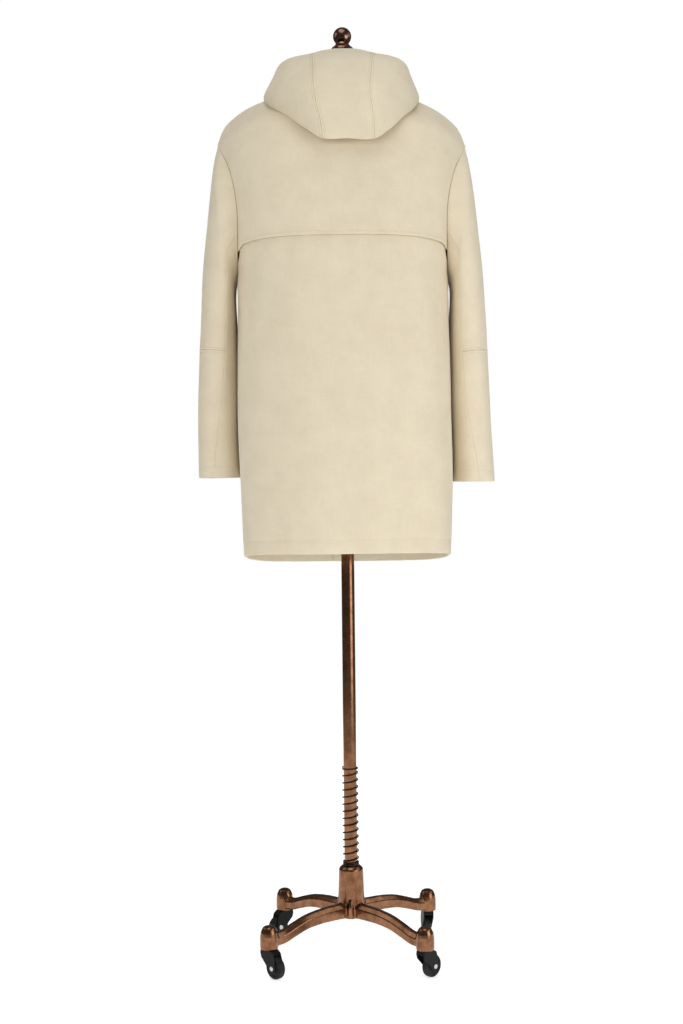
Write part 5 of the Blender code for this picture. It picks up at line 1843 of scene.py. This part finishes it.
@dataclass
class Base:
    """Cast hub and four arched legs, run together with fillets."""

    finishes: Finishes
    layout: LegLayout = LegLayout()
    rows: tuple[LegRow, ...] = (
        LegRow(0.006, 0.0865, 0.0272, 0.0220), LegRow(0.045, 0.0870, 0.0257, 0.0212),
        LegRow(0.080, 0.0858, 0.0242, 0.0204), LegRow(0.110, 0.0820, 0.0232, 0.0202),
        LegRow(0.138, 0.0740, 0.0227, 0.0202), LegRow(0.162, 0.0665, 0.0222, 0.0202),
        LegRow(0.190, 0.0640, 0.0217, 0.0202),
    )
    crown: tuple[float, float] = (6.0 * MM, 7.5 * MM)
    sole: float = 2.2 * MM
    leg_steps: int = 48
    hub_profile: tuple[tuple[float, float], ...] = (
        (0.0, 0.0738), (0.0238, 0.0738), (0.0238, 0.110), (0.0221, 0.1610), (0.0166, 0.1667),
        (0.0, 0.1667))
    cap_profile: tuple[tuple[float, float], ...] = (
        (0.0, 0.0500), (0.0159, 0.0500), (0.0161, 0.0600), (0.0159, 0.0720), (0.0148, 0.0800),
        (0.0112, 0.0874), (0.0064, 0.0903), (0.0, 0.0912))
    voxel: float = 1.25 * MM
    sharp: float = 50.0
    stem_hole: float = 5.0 * MM
    stem_hole_bottom: float = 40.0 * MM
    stem_top: float = 0.0705
    facet_half_width: float = 8.0 * MM
    facet_reach: float = 27.5 * MM
    facet_low: float = 0.0737
    facet_high: float = 0.1115

    def build(self) -> None:
        """Make the base as one casting."""
        bm = bmesh.new()
        ring_surface(bm, lathe_rings(rounded(self.hub_profile, 1.6 * MM), 72))
        for number in range(len(self.layout.names)):
            turn = Matrix.Rotation(math.radians(self.layout.angle(number)), 4, "Z")
            ring_surface(bm, self.leg_rings(turn))
            ring_surface(bm, lathe_rings(rounded(self.cap_profile, 1.2 * MM), 48,
                                         Matrix.Translation(self.layout.foot(number))))
            between = Matrix.Rotation(math.radians(self.layout.angle(number) + 45.0), 4, "Z")
            ring_surface(bm, self.facet_rings(between))
        piece = make_piece("base_casting", close_mesh("base_casting", bm),
                           [self.finishes.copper], 60)
        soften(piece, self.voxel)
        self.bore(piece)
        piece.data.shade_smooth()
        piece.data.set_sharp_from_angle(angle=math.radians(self.sharp))
        stand_for(piece, Body.STAND.value, "aged_copper", "hub",
                  *(f"leg_{name}" for name in self.layout.names))
        LOG.info("base_casting: %d faces", len(piece.data.polygons))

    def bore(self, piece: bpy.types.Object) -> None:
        """Open the sockets for the casters' stems."""
        bm = bmesh.new()
        for number in range(len(self.layout.names)):
            profile = ((self.stem_hole, self.stem_hole_bottom),
                       (self.stem_hole, self.stem_top))
            ring_surface(bm, lathe_rings(profile, 32,
                                         Matrix.Translation(self.layout.foot(number))))
        tool = make_piece("stem_sockets", close_mesh("stem_sockets", bm), [])
        cut = piece.modifiers.new("Sockets", "BOOLEAN")
        cut.operation = "DIFFERENCE"
        cut.solver = "EXACT"
        cut.object = tool
        settle(piece)
        bpy.data.objects.remove(tool, do_unlink=True)

    def leg_rings(self, turn: Matrix) -> list[list[Vector]]:
        """Sections of a leg's bar: broad upper bevels, upright sides and a narrow lower bevel."""
        places = [row.reach for row in self.rows]
        rings = []
        for step in range(self.leg_steps + 1):
            reach = places[0] + (places[-1] - places[0]) * step / self.leg_steps
            centre, height, width = (smooth(places, [getattr(r, name) for r in self.rows], reach)
                                     for name in ("centre_z", "height", "width"))
            low, high, half = centre - height * 0.5, centre + height * 0.5, width * 0.5
            inward, down = self.crown
            section = ((half - self.sole, low), (half, low + self.sole), (half, high - down),
                       (half - inward, high), (inward - half, high), (-half, high - down),
                       (-half, low + self.sole), (self.sole - half, low))
            rings.append([turn @ Vector((reach, across, z)) for across, z in section])
        return rings

    def facet_rings(self, turn: Matrix) -> list[list[Vector]]:
        """Upright wedge that fills the corner between two legs at the hub."""
        half, reach = self.facet_half_width, self.facet_reach
        rings = []
        for share, inset in ((0.0, 0.0), (0.55, 0.0), (0.85, 2.0 * MM), (1.0, 7.0 * MM)):
            z = self.facet_low + (self.facet_high - self.facet_low) * share
            outer = reach - inset
            width = half * (1.0 - 0.55 * share)
            section = ((0.010, -0.016), (outer - 3.0 * MM, -width), (outer, -width * 0.4),
                       (outer, width * 0.4), (outer - 3.0 * MM, width), (0.010, 0.016))
            rings.append([turn @ Vector((x, y, z)) for x, y in section])
        return rings


@dataclass
class Casters:
    """Four swivel casters: a fork of two cheeks, a wheel and its axle."""

    finishes: Finishes
    layout: LegLayout = LegLayout()
    headings: tuple[float, ...] = (135.0, 225.0, 277.0, 38.0)
    wheel_radius: float = 19.72 * MM
    axle_z: float = 19.754 * MM
    wheel_width: float = 13.0 * MM
    trail: float = 16.0 * MM
    fork_top: float = 49.7 * MM
    fork_width: float = 19.0 * MM
    crown_height: float = 7.0 * MM
    cheek_radius: float = 8.5 * MM
    stem_radius: float = 4.5 * MM
    stem_length: float = 20.0 * MM
    stem_foot: float = 1.5 * MM
    axle_radius: float = 2.8 * MM
    head_radius: float = 4.2 * MM
    head_gap: float = 0.3 * MM
    wheel_gap: float = 0.7 * MM
    bore_gap: float = 0.35 * MM
    crown_overlap: float = 0.5 * MM
    voxel: float = 0.45 * MM
    sharp: float = 45.0

    def build(self) -> None:
        """Make the casters under the legs."""
        for number, (name, heading) in enumerate(zip(self.layout.names, self.headings)):
            place = (Matrix.Translation(self.layout.foot(number))
                     @ Matrix.Rotation(math.radians(heading), 4, "Z"))
            axle = (place @ Matrix.Translation((self.trail, 0.0, self.axle_z))
                    @ Matrix.Rotation(math.radians(90.0), 4, "X"))
            self.build_fork(name, place)
            self.build_axle(name, axle)
            self.build_wheel(name, axle)

    def outline(self) -> list[tuple[float, float]]:
        """Side view of a cheek as (trail, z) points."""
        top = self.fork_top
        points = [(-0.0122, top), (-0.0135, top - 0.006), (-0.0112, top - 0.014)]
        for k in range(19):
            turn = math.radians(210.0 + 185.0 * k / 18)
            points.append((self.trail + self.cheek_radius * math.cos(turn),
                           self.axle_z + self.cheek_radius * math.sin(turn)))
        points += [(self.trail + 0.0073, self.axle_z + 0.013), (self.trail + 0.0028, top - 0.0045),
                   (self.trail - 0.0037, top)]
        return points

    def build_fork(self, name: str, place: Matrix) -> None:
        """Cheeks, crown and stem of one caster.

        Args:
            name: the leg that it stands under.
            place: its swivel axis on the floor, heading along X.
        """
        half = self.fork_width * 0.5
        inner = self.wheel_width * 0.5 + self.wheel_gap
        outline = self.outline()
        crown_z = self.fork_top - self.crown_height
        crown = [(u, max(z, crown_z)) for u, z in outline]
        bm = bmesh.new()
        slabs = ((outline, -half, -inner), (outline, inner, half),
                 (crown, -inner - self.crown_overlap, inner + self.crown_overlap))
        for points, low, high in slabs:
            ring_surface(bm, [[Vector((u, v, z)) for u, z in points] for v in (low, high)])
        fork = make_piece(f"caster_fork_{name}", close_mesh("fork", bm),
                          [self.finishes.plastic, self.finishes.steel], 35)
        soften(fork, self.voxel)
        bm = bmesh.new()
        bm.from_mesh(fork.data)
        stem = ((self.stem_radius, self.fork_top - self.stem_foot),
                (self.stem_radius, self.fork_top + self.stem_length))
        ring_surface(bm, lathe_rings(stem, 28), 1)
        bm.transform(place)
        bm.to_mesh(fork.data)
        bm.free()
        fork.data.shade_smooth()
        fork.data.set_sharp_from_angle(angle=math.radians(self.sharp))
        stand_for(fork, f"caster_{name}", "black_plastic", f"fork_{name}")

    def build_axle(self, name: str, place: Matrix) -> None:
        """Axle with a low domed head at each end."""
        reach = self.fork_width * 0.5 + self.head_gap
        head = self.head_radius
        profile = ((0.0, -reach - 1.0 * MM), (head * 0.6, -reach - 0.9 * MM),
                   (head, -reach - 0.4 * MM), (head, -reach), (self.axle_radius, -reach),
                   (self.axle_radius, reach), (head, reach), (head, reach + 0.4 * MM),
                   (head * 0.6, reach + 0.9 * MM), (0.0, reach + 1.0 * MM))
        axle = turned(f"caster_axle_{name}", profile, [self.finishes.steel], 32, place)
        stand_for(axle, f"caster_{name}", "grey_steel", f"axle_{name}")

    def build_wheel(self, name: str, place: Matrix) -> None:
        """Wheel with a rounded tread, a stepped side and a bore for its axle."""
        side = self.wheel_width * 0.5
        radius = self.wheel_radius
        bore = self.axle_radius + self.bore_gap
        half = ((bore, side), (0.0062, side), (0.0072, side - 1.2 * MM),
                (0.0132, side - 1.2 * MM), (0.0145, side), (radius - 2.6 * MM, side),
                (radius, side - 2.4 * MM))
        profile = [(r, -z) for r, z in half] + [(r, z) for r, z in reversed(half)]
        profile.append((bore, 0.0))
        wheel = turned(f"caster_wheel_{name}", rounded(profile, 0.7 * MM),
                       [self.finishes.rubber], 64, place, loop=True)
        stand_for(wheel, f"roller_{name}", "dark_rubber", f"wheel_{name}")


# Studio


@dataclass(frozen=True)
class SoftLight:
    """A large area light aimed at the coat; shows lets it appear in the metal's reflections."""

    name: str
    place: tuple[float, float, float]
    aim: tuple[float, float, float]
    size: float
    power: float
    shows: bool = True


@dataclass
class Studio:
    """Camera, soft white light, and a pale floor that fades into the background."""

    camera_place: tuple[float, float, float] = (0.0104, 3.0, 0.851)
    pitch: float = -0.765
    roll: float = 0.62
    lens: float = 57.94
    backdrop: float = 1.0
    ambient: float = 0.12
    lights: tuple[SoftLight, ...] = (
        SoftLight("key_light", (-2.7, 1.9, 1.2), (0.0, 0.0, 0.9), 2.2, 41.5),
        SoftLight("fill_light", (1.5, 4.1, 1.5), (0.0, 0.0, 1.0), 3.2, 81.0, False),
        SoftLight("top_light", (0.2, 0.9, 3.5), (0.0, 0.1, 0.8), 1.8, 20.0),
        SoftLight("left_strip", (2.5, -0.2, 2.3), (0.0, 0.0, 0.5), 1.6, 9.0),
        SoftLight("right_strip", (-2.5, -0.2, 2.3), (0.0, 0.0, 0.5), 1.6, 9.0),
        SoftLight("front_light", (0.2, -3.2, 2.2), (0.0, 0.0, 1.0), 2.6, 60.0, False),
    )
    floor_radius: float = 3.4
    floor_fade: float = 1.5
    floor_glow: float = 0.55

    def build(self) -> None:
        """Make the camera, the light and the floor."""
        self.build_camera()
        self.build_world()
        for light in self.lights:
            self.build_light(light)
        self.build_floor()

    def build_camera(self) -> None:
        """Camera behind the coat, as the photograph was taken."""
        data = bpy.data.cameras.new("back_camera")
        data.lens = self.lens
        data.sensor_width = 36.0
        data.clip_end = 60.0
        camera = bpy.data.objects.new("back_camera", data)
        camera.matrix_world = (Matrix.Translation(self.camera_place)
                               @ Matrix.Rotation(math.pi, 4, "Z")
                               @ Matrix.Rotation(math.radians(90.0 + self.pitch), 4, "X")
                               @ Matrix.Rotation(math.radians(-self.roll), 4, "Z"))
        bpy.context.scene.collection.objects.link(camera)
        bpy.context.scene.camera = camera

    def build_world(self) -> None:
        """White backdrop in an evenly lit room."""
        scene = bpy.context.scene
        world = bpy.data.worlds.new("white_studio")
        world.use_nodes = True
        tree = world.node_tree
        shade = tree.nodes["Background"]
        shade.inputs["Color"].default_value = (1.0, 1.0, 1.0, 1.0)
        strength = tree.nodes.new("ShaderNodeMapRange")
        strength.inputs["To Min"].default_value = self.ambient
        strength.inputs["To Max"].default_value = self.backdrop
        path = tree.nodes.new("ShaderNodeLightPath")
        tree.links.new(path.outputs["Is Camera Ray"], strength.inputs["Value"])
        tree.links.new(strength.outputs[0], shade.inputs["Strength"])
        scene.world = world
        scene.view_settings.view_transform = "Standard"

    def build_light(self, light: SoftLight) -> None:
        """Add one area light.

        Args:
            light: its place, aim, size and power.
        """
        data = bpy.data.lights.new(light.name, "AREA")
        data.size = light.size
        data.energy = light.power
        lamp = bpy.data.objects.new(light.name, data)
        lamp.location = light.place
        lamp.visible_glossy = light.shows
        toward = Vector(light.aim) - Vector(light.place)
        lamp.rotation_euler = toward.to_track_quat("-Z", "Y").to_euler()
        bpy.context.scene.collection.objects.link(lamp)

    def build_floor(self) -> None:
        """Round pale floor that fades out towards its rim."""
        graph = Graph("studio_floor")
        radius = graph.add("ShaderNodeVectorMath", {0: graph.place}, operation="LENGTH")
        fade = graph.add("ShaderNodeMapRange",
                         {"Value": radius.outputs["Value"], "From Min": self.floor_fade,
                          "From Max": self.floor_radius, "To Min": 1.0, "To Max": 0.0})
        graph.set(Base_Color=(0.90, 0.90, 0.90, 1.0), Roughness=0.9, Specular_IOR_Level=0.0,
                  Emission_Color=(1.0, 1.0, 1.0, 1.0), Emission_Strength=self.floor_glow,
                  Alpha=fade.outputs[0])
        bm = bmesh.new()
        bmesh.ops.create_circle(bm, cap_ends=True, radius=self.floor_radius, segments=96)
        mesh = bpy.data.meshes.new("studio_floor")
        bm.to_mesh(mesh)
        bm.free()
        make_piece("studio_floor", mesh, [graph.material])


def main() -> None:
    """Build the whole scene."""
    logging.basicConfig(level=logging.INFO, format="%(name)s: %(message)s")
    finishes = Finishes()
    stitching = Stitching("coat_topstitching")
    CoatBody(finishes).build(stitching)
    Sleeves(finishes).build(stitching)
    Hood(finishes).build(stitching)
    stitching.build(finishes.thread)
    Buttons(finishes).build()
    DressForm(finishes).build()
    Pole(finishes).build()
    Base(finishes).build()
    Casters(finishes).build()
    Studio().build()


if __name__ == "__main__":
    main()
